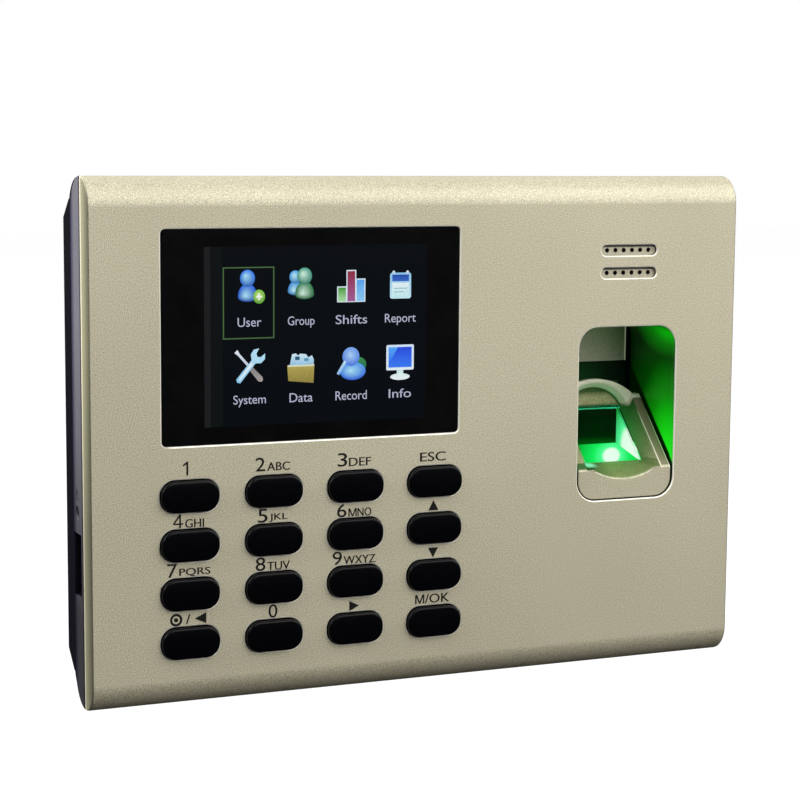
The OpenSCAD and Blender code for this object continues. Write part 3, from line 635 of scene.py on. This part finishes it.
def soften(name, width_mm, segments=3, flatten=True):
    """Rounds a CAD node's sharp edges for the eye; its mesh stays as imported."""
    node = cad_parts[name]
    weld = node.modifiers.new("weld", "WELD")
    weld.merge_threshold = 0.004 * MM
    if flatten:
        flats = node.modifiers.new("flats", "DECIMATE")
        flats.decimate_type = "DISSOLVE"
        flats.angle_limit = math.radians(0.5)
    edges = node.modifiers.new("edges", "BEVEL")
    edges.width = width_mm * MM
    edges.segments = segments
    edges.limit_method = "ANGLE"
    edges.angle_limit = SHARP
    edges.use_clamp_overlap = False
    edges.harden_normals = not flatten
    if flatten:
        shade = node.modifiers.new("shade", "WEIGHTED_NORMAL")
        shade.weight = 80


def finer_in(node, low, high, share):
    """Narrows a softened node's bevel to a share of its width inside a box."""
    tree = bpy.data.node_groups.new("bevel_weights", "GeometryNodeTree")
    for way in ("INPUT", "OUTPUT"):
        tree.interface.new_socket("Mesh", in_out=way, socket_type="NodeSocketGeometry")

    def maths_of(operation, *values):
        return add_to(tree, "ShaderNodeMath", dict(enumerate(values)),
                      operation=operation).outputs[0]

    angle = add_to(tree, "GeometryNodeInputMeshEdgeAngle").outputs[0]
    position = add_to(tree, "GeometryNodeInputPosition").outputs[0]
    place = add_to(tree, "ShaderNodeSeparateXYZ", {0: position}).outputs
    inside = 1 - share
    for axis in range(3):
        middle, half = (low[axis] + high[axis]) / 2, (high[axis] - low[axis]) / 2
        near = maths_of("COMPARE", place[axis], middle, half)
        inside = maths_of("MULTIPLY", near, inside)
    weight = maths_of("MULTIPLY", maths_of("GREATER_THAN", angle, SHARP),
                      maths_of("SUBTRACT", 1.0, inside))
    start = add_to(tree, "NodeGroupInput").outputs[0]
    store = add_to(tree, "GeometryNodeStoreNamedAttribute", {
        "Geometry": start, "Name": "bevel_weight_edge", "Value": weight
    }, data_type="FLOAT", domain="EDGE")
    add_to(tree, "NodeGroupOutput", {0: store.outputs["Geometry"]})
    node.modifiers.new("weights", "NODES").node_group = tree
    node.modifiers.move(len(node.modifiers) - 1, node.modifiers.find("edges"))
    node.modifiers["edges"].limit_method = "WEIGHT"


soften("front_cover", 0.36)
finer_in(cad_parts["front_cover"], in_row(48, 0.5, 38.5), in_row(66.5, 3.3, 48.5),
         0.2)                            # the speaker slots
soften("sensor_bezel", 0.25, flatten=False)
soften("rear_cover", 0.1, flatten=False)
soften("wall_plate", 0.15, 2)


# ---------------------------------------------------- mesh helpers

def new_piece(name, mesh, looks, body="case"):
    piece = bpy.data.objects.new(name, mesh)
    scene.collection.objects.link(piece)
    for look in looks:
        mesh.materials.append(look)
    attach(piece, body)
    return piece


def rounded_outline(w, h, r, steps=8):
    """Anticlockwise (x, z) outline of a rounded rectangle round the origin."""
    points = []
    for corner, (sx, sz) in enumerate([(1, 1), (-1, 1), (-1, -1), (1, -1)]):
        for step in range(steps + 1):
            angle = math.radians(90 * (corner + step / steps))
            points.append((sx * (w / 2 - r) + r * math.cos(angle),
                           sz * (h / 2 - r) + r * math.sin(angle)))
    return points


def join_rows(shape, rows):
    """Faces between closed rows of vertices, each row joined to the next."""
    faces = []
    for a, b in zip(rows, rows[1:]):
        for i in range(len(a)):
            j = (i + 1) % len(a)
            faces.append(shape.faces.new((a[i], a[j], b[j], b[i])))
    return faces


def loft(name, rings):
    """Closed mesh through rings of equal length, its two ends capped."""
    mesh = bpy.data.meshes.new(name)
    shape = bmesh.new()
    rows = [[shape.verts.new(point) for point in ring] for ring in rings]
    join_rows(shape, rows)
    shape.faces.new(rows[0][::-1])
    shape.faces.new(rows[-1])
    bmesh.ops.recalc_face_normals(shape, faces=shape.faces)
    for face in shape.faces:
        face.smooth = True
    shape.to_mesh(mesh)
    shape.free()
    mesh.set_sharp_from_angle(angle=math.radians(35))
    return mesh


# ---------------------------------------------------- keys

KEY_W, KEY_H, KEY_R = 14.9, 7.9, 3.6       # the cap's width, height and corner radius
STEM = (7, 3, 1.4)                         # the same of the plunger behind it
FLANGE_FRONT, FLANGE_BACK = FACE_Y + 2.55 * MM, FACE_Y + 3.35 * MM
EDGE_R, EDGE_STEPS = 0.55, 6               # the cap's soft edge


def make_key(name):
    """Polished key: plunger, retaining flange, and a crowned cap with a soft edge."""
    low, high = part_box(name)
    cx, cz = (low.x + high.x) / 2, (low.z + high.z) / 2
    flange_w, flange_h = (high.x - low.x) / MM, (high.z - low.z) / MM
    rings = []

    def ring(w, h, r, y):
        rings.append([(cx + x * MM, y, cz + z * MM) for x, z in rounded_outline(w, h, r)])

    def cap_ring(inset, depth):
        ring(KEY_W - 2 * inset, KEY_H - 2 * inset, max(KEY_R - inset, 0.25), low.y + depth * MM)

    ring(*STEM, high.y)
    ring(*STEM, FLANGE_BACK)
    for inset, y in ((0.1, FLANGE_BACK), (0, FLANGE_BACK - 0.1 * MM),
                     (0, FLANGE_FRONT + 0.1 * MM), (0.1, FLANGE_FRONT)):
        ring(flange_w - 2 * inset, flange_h - 2 * inset, KEY_R + 0.4 - inset, y)
    ring(KEY_W, KEY_H, KEY_R, FLANGE_FRONT)
    for step in range(EDGE_STEPS + 1):
        angle = math.radians(90 * step / EDGE_STEPS)
        cap_ring(EDGE_R * (1 - math.cos(angle)), 0.12 + EDGE_R * (1 - math.sin(angle)))
    for inset, crown in ((1.2, 0.07), (2.0, 0.03), (2.8, 0.01), (3.5, 0.0)):
        cap_ring(inset, crown)
    cap = name + "_cap"
    piece = new_piece(cap, loft(cap, rings), [finishes["key_black"]], cap)
    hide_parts(name)


for key in [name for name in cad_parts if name.startswith("key_")]:
    make_key(key)


# ---------------------------------------------------- flat shapes

def placed(points, x, z, angle=0):
    """An outline turned by an angle in degrees, then moved to a place."""
    c, s = math.cos(math.radians(angle)), math.sin(math.radians(angle))
    return [(x + px * c - pz * s, z + px * s + pz * c) for px, pz in points]


def arc(x, z, rx, rz, start, end, steps=20):
    angles = [math.radians(start + (end - start) * i / steps) for i in range(steps + 1)]
    return [(x + rx * math.cos(a), z + rz * math.sin(a)) for a in angles]


def oval(x, z, rx, rz=None, steps=28):
    return arc(x, z, rx, rz or rx, 0, 360, steps)[:-1]


class Flat:
    """Collects thin raised shapes on one plane facing the front, in millimetres.

    Layer 0 is the plane itself, and each layer stands one step further out."""

    def __init__(self, name, base_y, step_mm):
        self.name = name
        self.base_y = base_y
        self.step = step_mm * MM
        self.shape = bmesh.new()
        self.tint = self.shape.verts.layers.float_color.new("tint")

    def vert(self, x, z, layer, colour):
        made = self.shape.verts.new((x * MM, self.base_y - layer * self.step, z * MM))
        made[self.tint] = (*colour, 1)
        return made

    def fan(self, points, top=BLACK, bottom=None, layer=1, spot=None, glow=None, rings=1):
        """Closed plate of an (x, z) outline: colour from top to bottom, or to a bright spot."""
        z_low, z_high = min(z for x, z in points), max(z for x, z in points)

        def vert(x, z, layer, near):
            t = (z - z_low) / max(z_high - z_low, 1e-6)
            colour = [b + (a - b) * t for a, b in zip(top, bottom or top)]
            if glow:
                colour = [c + (g - c) * near for c, g in zip(colour, glow)]
            return self.vert(x, z, layer, colour)

        rows = [[vert(x, z, height, 0) for x, z in points] for height in (0, layer)]
        for k in range(1, rings):
            t = k / rings
            rows.append([vert(x + (spot[0] - x) * t, z + (spot[1] - z) * t, layer, t ** 1.3)
                         for x, z in points])
        faces = join_rows(self.shape, rows)
        last = rows[-1]
        if glow:
            centre = vert(*spot, layer, 1)
            for a, b in zip(last, last[1:] + last[:1]):
                faces.append(self.shape.faces.new((a, b, centre)))
        else:
            faces.append(self.shape.faces.new(last))
        faces.append(self.shape.faces.new(rows[0][::-1]))
        bmesh.ops.recalc_face_normals(self.shape, faces=faces)

    def bar(self, x0, x1, z0, z1, top=BLACK, bottom=None, layer=1, r=0.0):
        if r:
            points = placed(rounded_outline(x1 - x0, z1 - z0, r, 4), (x0 + x1) / 2,
                            (z0 + z1) / 2)
        else:
            points = [(x0, z0), (x1, z0), (x1, z1), (x0, z1)]
        self.fan(points, top, bottom, layer)

    def hoop(self, points, width):
        """Closed black band that follows an outline, drawn inwards by its width."""
        mx = sum(x for x, z in points) / len(points)
        mz = sum(z for x, z in points) / len(points)
        inner = []
        for x, z in points:
            reach = math.hypot(x - mx, z - mz)
            k = (reach - width) / reach
            inner.append((mx + (x - mx) * k, mz + (z - mz) * k))
        rows = [[self.vert(x, z, layer, BLACK) for x, z in outline]
                for outline, layer in ((points, 0), (points, 1), (inner, 1), (inner, 0))]
        faces = join_rows(self.shape, rows + rows[:1])
        bmesh.ops.recalc_face_normals(self.shape, faces=faces)

    def write(self, text, x0, x1, z0, z1, colour=BLACK, layer=1, weight=0.0):
        """Text stretched to fill a box, as closed plates."""
        curve = bpy.data.curves.new("writing", "FONT")
        curve.body = text
        curve.extrude = 0.5
        curve.offset = weight
        curve.resolution_u = 4
        holder = bpy.data.objects.new("writing", curve)
        scene.collection.objects.link(holder)
        bpy.context.view_layer.update()
        mesh = bpy.data.meshes.new_from_object(holder)
        xs = [v.co.x for v in mesh.vertices]
        ys = [v.co.y for v in mesh.vertices]
        left, low, wide, tall = min(xs), min(ys), max(xs) - min(xs), max(ys) - min(ys)
        glyphs = bmesh.new()
        glyphs.from_mesh(mesh)
        bmesh.ops.remove_doubles(glyphs, verts=glyphs.verts, dist=1e-5)
        made = {}
        for v in glyphs.verts:
            made[v] = self.vert(x0 + (v.co.x - left) / wide * (x1 - x0),
                                z0 + (v.co.y - low) / tall * (z1 - z0),
                                layer if v.co.z > 0 else 0, colour)
        faces = [self.shape.faces.new([made[v] for v in face.verts]) for face in glyphs.faces]
        bmesh.ops.recalc_face_normals(self.shape, faces=faces)
        glyphs.free()
        bpy.data.objects.remove(holder)
        bpy.data.curves.remove(curve)
        bpy.data.meshes.remove(mesh)

    def finish(self, look, turn=0):
        """Ends the piece, turned about the vertical by a number of degrees."""
        bmesh.ops.rotate(self.shape, verts=self.shape.verts,
                         matrix=Matrix.Rotation(math.radians(turn), 3, "Z"))
        mesh = bpy.data.meshes.new(self.name)
        self.shape.to_mesh(mesh)
        self.shape.free()
        new_piece(self.name, mesh, [look])


# ---------------------------------------------------- legends over the keys

COLUMNS = (-65, -43, -21, 1)
BASELINES = (-7.3, -20.35, -32.65, -44.9)
DIGIT_W, DIGIT_H, LETTER_H, GAP = 2.6, 3.5, 2.15, 0.5
DIGITS = [["1", "2ABC", "3DEF"], ["4GHI", "5JKL", "6MNO"], ["7PQRS", "8TUV", "9WXYZ"]]
LETTER_W = {"I": 0.8, "J": 1.2, "L": 1.6, "M": 2.3, "W": 2.7}
DIGIT_WEIGHT = 0.004
WORD_SHIFT = -0.35        # the words sit a little left of their keys


def draw_one(flat, x, z):
    flat.fan(placed([(1.05, 0), (1.55, 0), (1.55, 3.5), (1.2, 3.5), (0.2, 2.75), (0.2, 2.25),
                     (1.05, 2.8)], x, z))


def draw_m(flat, x0, x1, z0, z1):
    outline = [(0, 0), (0.16, 0), (0.16, 0.70), (0.42, 0), (0.58, 0), (0.84, 0.70), (0.84, 0),
               (1, 0), (1, 1), (0.78, 1), (0.5, 0.24), (0.22, 1), (0, 1)]
    flat.fan([(x0 + a * (x1 - x0), z0 + b * (z1 - z0)) for a, b in outline])


def draw_four(flat, x, z):
    """A 4 with its open triangle, as one outline with a hair-thin slit into the triangle."""
    flat.fan(placed([(1.55, 0), (2.0, 0), (2.0, 0.85), (2.6, 0.85), (2.6, 1.25), (2.0, 1.25),
                     (2.0, 3.5), (1.6, 3.5), (0, 1.3), (0, 0.85), (1.54, 0.85), (1.54, 1.25),
                     (0.5, 1.25), (1.55, 2.7)], x, z))


def write_bold(flat, text, x0, x1, z0, z1):
    """Text set twice, a little apart, for a heavier stroke."""
    apart = 0.06
    flat.write(text, x0 - apart, x1 - apart, z0, z1)
    flat.write(text, x0 + apart, x1 + apart, z0, z1, layer=0.95)


def make_legends():
    flat = Flat("keypad_legends", FACE_Y + 0.1 * MM, 0.125)
    for words, z in zip(DIGITS, BASELINES):
        for word, column in zip(words, COLUMNS):
            if word == "1":
                draw_one(flat, column - 1.9, z)
                continue
            letters = word[1:]
            run = sum(LETTER_W.get(letter, 2.0) for letter in letters)
            x = column + WORD_SHIFT - (DIGIT_W + GAP + run) / 2
            if word[0] == "4":
                draw_four(flat, x, z)
            else:
                flat.write(word[0], x, x + DIGIT_W, z, z + DIGIT_H, weight=DIGIT_WEIGHT)
            x += DIGIT_W + GAP
            if letters.startswith("M"):
                draw_m(flat, x, x + LETTER_W["M"], z, z + LETTER_H)
                x, run, letters = x + LETTER_W["M"] + 0.25, run - LETTER_W["M"] - 0.25, "NO"
            write_bold(flat, letters, x, x + run, z, z + LETTER_H)
    x, z = COLUMNS[1], BASELINES[3]
    flat.write("0", x - 1.5, x + 0.9, z, z + DIGIT_H, weight=DIGIT_WEIGHT)
    x = COLUMNS[3]
    write_bold(flat, "ESC", x - 4.1, x + 3.1, BASELINES[0] + 0.1, BASELINES[0] + 2.5)
    draw_m(flat, x - 5.2, x - 2.6, z + 0.3, z + 2.7)
    write_bold(flat, "/OK", x - 2.4, x + 4.5, z + 0.3, z + 2.7)
    for outline, x, z in (
            ([(-1.45, 0), (1.45, 0), (0, 2.7)], COLUMNS[3] - 0.25, BASELINES[1] + 0.2),
            ([(-1.45, 2.6), (0, 0), (1.45, 2.6)], COLUMNS[3] - 0.25, BASELINES[2] + 0.1),
            ([(-1.6, -1.35), (1.1, 0), (-1.6, 1.35)], COLUMNS[2], BASELINES[3] + 1.3),
            ([(1.1, 0), (4.1, -1.4), (4.1, 1.4)], COLUMNS[0], BASELINES[3] + 1.5),
            ([(-1.2, -1.2), (-0.8, -1.2), (0, 1.2), (-0.4, 1.2)], COLUMNS[0],
             BASELINES[3] + 1.5)):
        flat.fan(placed(outline, x, z))
    x, z = COLUMNS[0] - 3.7, BASELINES[3] + 1.5
    flat.hoop(oval(x, z, 1.6), 0.6)
    flat.fan(oval(x, z, 0.55))
    flat.finish(ink("black_ink", 0.003, (0.009, 0.009, 0.008), Specular_IOR_Level=0.15))


make_legends()


# ---------------------------------------------------- marks on the left side

def make_side_marks():
    """Plain marks by the reset hole and the memory-stick socket."""
    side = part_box("rear_cover")[0].x
    reset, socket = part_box("reset_button"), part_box("usb_socket")
    flat = Flat("side_marks", side + 0.05 * MM, 0.07)
    x = -(reset[0].y + reset[1].y) / 2 / MM      # across the side, once it is turned
    z = reset[1].z / MM + 3.2
    flat.hoop(oval(x, z, 1.3, steps=20), 0.42)
    flat.bar(x - 0.25, x + 0.25, z + 0.2, z + 1.9, layer=1.2)
    x = -(socket[0].y + socket[1].y) / 2 / MM
    z = socket[0].z / MM - 4
    flat.hoop(placed(rounded_outline(3.0, 2.4, 0.3, 4), x, z), 0.42)
    for across in (-0.5, 0.5):
        flat.bar(x + across - 0.25, x + across + 0.25, z - 0.35, z + 0.35)
    flat.bar(x - 0.9, x + 0.9, z - 2.6, z - 1.2)
    flat.finish(ink("mark_ink", (0.006, 0.006, 0.008), (0.014, 0.014, 0.018)),
                turn=-90)


make_side_marks()


# ---------------------------------------------------- the display's picture

LENS_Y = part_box("display_lens")[0].y
ICON_X = (-49.3, -35.7, -22.2, -8.8)
ICON_Z = (38.6, 19.0)
LABEL_Z = (29.0, 9.7)
LABELS = [["User", "Group", "Shifts", "Report"], ["System", "Data", "Record", "Info"]]


def person(flat, x, z, size, head, body, bright, layer=2):
    """Round head over a domed body, shaded like a pair of beads."""
    low = z - 1.9 * size
    dome = arc(x, low, 2.5 * size, 3.3 * size, 0, 180)
    dome += arc(x, low, 2.5 * size, 1.2 * size, 180, 360)[1:-1]
    flat.fan(dome, body, tuple(c * 0.45 for c in body), layer,
             (x - 0.6 * size, z - 1.6 * size), bright, 6)
    flat.fan(oval(x, z + 2.7 * size, 1.95 * size, 2.1 * size), head,
             tuple(c * 0.5 for c in head), layer + 1, (x - 0.5 * size, z + 3.4 * size), bright, 6)


def draw_user(flat, x, z):
    person(flat, x - 0.5, z - 0.3, 1.0, (0.05, 0.24, 0.95), (0.03, 0.16, 0.85),
           (0.45, 0.85, 1.0))
    flat.fan(oval(x + 2.5, z - 2.2, 1.55, 1.75), (0.22, 0.62, 0.06), (0.08, 0.34, 0.03), 4,
             (x + 2.3, z - 1.8), (0.75, 0.95, 0.35), 4)
    for x0, x1, z0, z1 in ((1.7, 3.3, -2.4, -2.0), (2.3, 2.7, -3.0, -1.4)):
        flat.bar(x + x0, x + x1, z + z0, z + z1, (0.95, 1, 0.9), layer=5)


def draw_group(flat, x, z):
    person(flat, x - 1.6, z + 0.4, 0.78, (0.08, 0.42, 0.92), (0.06, 0.36, 0.90),
           (0.55, 0.92, 1.0))
    person(flat, x + 0.9, z, 1.0, (0.08, 0.42, 0.30), (0.03, 0.26, 0.08), (0.70, 0.98, 0.80),
           layer=3)


def draw_bars(flat, x, z):
    for x0, top_z, top, bottom in (
            (x - 3.9, z - 0.1, (0.06, 0.34, 0.03), (0.45, 0.80, 0.42)),
            (x - 1.4, z + 4.0, (0.30, 0.03, 0.05), (0.40, 0.12, 0.32)),
            (x + 1.1, z + 1.8, (0.10, 0.40, 0.92), (0.30, 0.66, 1.0))):
        flat.bar(x0, x0 + 2.65, z - 4.1, top_z, (0.75, 0.88, 0.95), layer=2)
        flat.bar(x0 + 0.3, x0 + 2.35, z - 3.9, top_z - 0.3, top, bottom, layer=3)


def draw_report(flat, x, z):
    flat.bar(x - 2.9, x + 2.9, z - 3.5, z + 3.1, (0.30, 0.62, 0.92), (0.62, 0.92, 0.98), 2,
             r=0.6)
    flat.bar(x - 2.3, x + 2.3, z + 0.9, z + 2.6, (0.02, 0.08, 0.42), (0.05, 0.16, 0.62), 3)
    flat.bar(x - 2.3, x + 2.3, z - 3.0, z + 0.5, (0.85, 0.97, 1.0), (0.60, 0.92, 0.92), 3)
    for k in (0, 1):
        flat.bar(x - 1.8, x + 1.8 - k, z - 1.0 - k * 0.9, z - 0.75 - k * 0.9,
                 (0.30, 0.58, 0.62), layer=4)
    for side in (-1.9, 1.9):
        flat.fan(oval(x + side, z + 3.1, 0.4, 0.55, 12), (0.75, 0.9, 1), (0.4, 0.6, 0.8), 4)


def draw_tools(flat, x, z):
    """A wrench crossed with a screwdriver."""
    shaft = [(-0.35, -0.3), (0.35, -0.3), (0.3, 4.1), (0.55, 5.3), (-0.55, 5.3), (-0.3, 4.1)]
    grip = [(-0.55, -0.4), (-0.75, -4.2), (-0.3, -4.9), (0.3, -4.9), (0.75, -4.2),
            (0.55, -0.4)]
    jaw = [(-0.7, -4.6), (0, -5.0), (0.7, -4.6), (0.65, 1.6), (1.75, 2.6), (1.9, 4.0),
           (1.0, 5.1), (0.75, 3.7), (0, 3.2), (-0.75, 3.7), (-1.0, 5.1), (-1.9, 4.0),
           (-1.75, 2.6), (-0.65, 1.6)]
    groove = [(-0.25, -4.2), (0.25, -4.2), (0.25, 1.2), (-0.25, 1.2)]
    for outline, angle, top, bottom, layer in (
            (shaft, 42, (0.86, 0.92, 1), (0.50, 0.60, 0.72), 2),
            (grip, 42, (0.25, 0.24, 0.24), (0.42, 0.38, 0.36), 2),
            (jaw, -40, (0.55, 0.86, 1.0), (0.30, 0.66, 0.95), 3),
            (groove, -40, (0.9, 0.97, 1), (0.75, 0.92, 1), 4)):
        flat.fan(placed(outline, x, z, angle), top, bottom, layer)


def draw_folder(flat, x, z):
    sheet = [(-3.1, -0.4), (3.3, -0.4), (3.4, 1.3), (2.9, 2.4), (1.9, 1.9), (1.3, 2.7),
             (-0.3, 2.9), (-0.8, 2.4), (-1.4, 3.0), (-2.4, 2.8)]
    flat.fan(placed(sheet, x, z), (0.72, 0.92, 1), (0.25, 0.55, 0.80), 2)
    flat.bar(x - 1.6, x - 0.4, z + 1.3, z + 2.2, (0.03, 0.12, 0.22), layer=3)
    flat.bar(x + 0.8, x + 2.0, z + 1.0, z + 1.7, (0.12, 0.35, 0.55), layer=3)
    front = [(-3.7, 0.0), (-3.4, -3.9), (3.3, -4.6), (3.5, 0.2)]
    flat.fan(placed(front, x, z), (0.50, 0.42, 0.10), (0.30, 0.24, 0.06), 4)
    flat.bar(x - 3.5, x + 3.4, z - 0.35, z + 0.1, (0.75, 0.80, 0.62), layer=5)


def draw_record(flat, x, z):
    """A round-headed figure with a bead behind it and a pen across it."""
    flat.fan(oval(x + 2.0, z - 0.4, 2.1, 1.9), (0.05, 0.30, 0.08), (0.02, 0.12, 0.10), 2)
    flat.fan(oval(x + 0.4, z - 2.0, 3.5, 2.3), (0.12, 0.42, 0.95), (0.03, 0.12, 0.72), 3,
             (x - 0.3, z - 1.9), (0.45, 0.85, 1.0), 5)
    flat.fan(oval(x - 0.1, z + 1.7, 2.3, 2.4), (0.20, 0.42, 0.92), (0.08, 0.20, 0.80), 4,
             (x - 0.3, z + 2.2), (0.45, 0.70, 1.0), 5)
    pen = [(-0.35, -2.0), (0.35, -2.0), (0.35, 1.9), (-0.35, 1.9)]
    flat.fan(placed(pen, x - 2.6, z - 1.0, -32), (0.55, 0.82, 1), (0.30, 0.55, 0.9), 5)


def draw_monitor(flat, x, z):
    flat.bar(x - 3.8, x + 3.8, z - 2.2, z + 4.3, (0.72, 0.86, 1.0), (0.85, 0.95, 1.0), 2,
             r=0.4)
    flat.bar(x - 3.2, x + 3.2, z - 1.5, z + 3.7, (0.03, 0.08, 0.80), (0.05, 0.22, 0.98), 3)
    flat.fan([(x - 3.2, z - 0.6), (x - 0.6, z + 3.7), (x - 3.2, z + 3.7)],
             (0.10, 0.42, 1.0), (0.04, 0.20, 0.92), 4)
    flat.bar(x - 0.9, x + 0.9, z - 3.4, z - 2.2, (0.60, 0.85, 0.80), (0.85, 0.98, 0.95), 2)
    flat.fan(oval(x, z - 3.9, 2.7, 0.85), (0.78, 0.95, 0.92), (0.90, 1, 0.98), 3)


DRAWINGS = [[draw_user, draw_group, draw_bars, draw_report],
            [draw_tools, draw_folder, draw_record, draw_monitor]]


def make_picture():
    flat = Flat("screen_picture", LENS_Y + 0.05 * MM, 0.03)
    first = 2                        # lowest layer of the icons; 1.7 is the glass itself
    left, right, low, high = -61.0, -1.7, 4.35, 48.85
    flat.bar(left, right, low, high, (0.0022, 0.0036, 0.0050), (0.0020, 0.0034, 0.0052),
             first - 0.15)
    flat.bar(left, -59.4, low, high, (0.0125, 0.0135, 0.0150), layer=first + 0.5)
    flat.bar(-59.4, -56.3, low, high, (0.0046, 0.0064, 0.0066), layer=first + 0.5)
    for x0, x1, z0, z1 in ((-56.2, -42.8, 26.0, 26.3), (-56.2, -42.8, 43.5, 43.8),
                           (-56.2, -55.9, 26.0, 43.8), (-43.1, -42.8, 26.0, 43.8)):
        flat.bar(x0, x1, z0, z1, (0.075, 0.16, 0.060), layer=first + 0.7)
    for row in (0, 1):
        for x, draw, word in zip(ICON_X, DRAWINGS[row], LABELS[row]):
            draw(flat, x, ICON_Z[row])
            wide = 1.42 * len(word) + (0.5 if len(word) < 5 else 0)
            tail = 0.65 if set(word) & set("yp") else 0.0
            flat.write(word, x - wide / 2, x + wide / 2, LABEL_Z[row] - tail,
                       LABEL_Z[row] + 2.3, (0.50, 0.52, 0.66), layer=first + 1)
    flat.finish(picture_light())


make_picture()


# ---------------------------------------------------- inside of the sensor

def make_light_box():
    """Hollow seen through the glass, its light painted as glow: dark back, green floor, bright
    sides, open at the top.
    """
    low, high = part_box("sensor_prism")
    front = (low.y, low.z + 0.3 * MM)
    corner = (high.y, low.z + 3.3 * MM)
    top = (high.y, high.z)
    thick, inner = 0.12 * MM, 0.15 * MM
    mesh = bpy.data.meshes.new("light_box")
    shape = bmesh.new()

    def plate(points, look_index):
        """Closed plate: its seen side is points, and it goes back against their normal."""
        a, b, c = (Vector(p) for p in points[:3])
        normal = (b - a).cross(c - a).normalized()
        near = [shape.verts.new(p) for p in points]
        far = [shape.verts.new(Vector(p) - normal * thick) for p in points]
        faces = [shape.faces.new(near), shape.faces.new(far[::-1])]
        for i in range(len(points)):
            j = (i + 1) % len(points)
            faces.append(shape.faces.new((near[j], near[i], far[i], far[j])))
        for face in faces:
            face.material_index = look_index

    def side(x, *profile):
        return [(x, y, z) for y, z in profile]

    for index, (start, end) in enumerate(((corner, top), (front, corner))):
        plate([(low.x, *start), (high.x, *start), (high.x, *end), (low.x, *end)], index)
    plate(side(high.x - inner, front, top, corner), 2)
    plate(side(low.x + inner, front, corner, top), 3)
    shape.to_mesh(mesh)
    shape.free()
    back = lit_green("box_back", in_row(58, 20, -13), 15, [
        (0.20, (0.001, 0.14, 0.008)), (0.45, (0.0004, 0.006, 0.0008)),
        (0.955, (0.0004, 0.0012, 0.0004)), (0.975, (0.04, 0.62, 0.30))
    ], (0.25, 1, 1))
    floor = lit_green("box_floor", in_row(59.4, 12.0, -10.4), 10, [
        (0.0, 1), (0.21, (0.98, 1, 0.98)), (0.28, (0.10, 0.98, 0.36)),
        (0.5, (0.01, 0.85, 0.13)), (1.0, (0.003, 0.42, 0.03))
    ], (0.88, 0.42, 0), lean=0.48)
    right = lit_green("box_right", in_row(65.9, 12.5, -8.5), 12, [
        (0.0, (0.98, 1, 0.96)), (0.40, (0.90, 1, 0.90)), (0.55, (0.10, 0.90, 0.36)),
        (1.0, (0.01, 0.30, 0.05))
    ])
    left = lit_green("box_left", in_row(48.9, 8, -11), 10, [
        (0.0, (0.25, 0.95, 0.65)), (0.3, (0.02, 0.45, 0.10)), (1.0, (0.003, 0.08, 0.012))
    ])
    piece = new_piece("light_box", mesh, [back, floor, right, left])
    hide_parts("sensor_prism")


make_light_box()
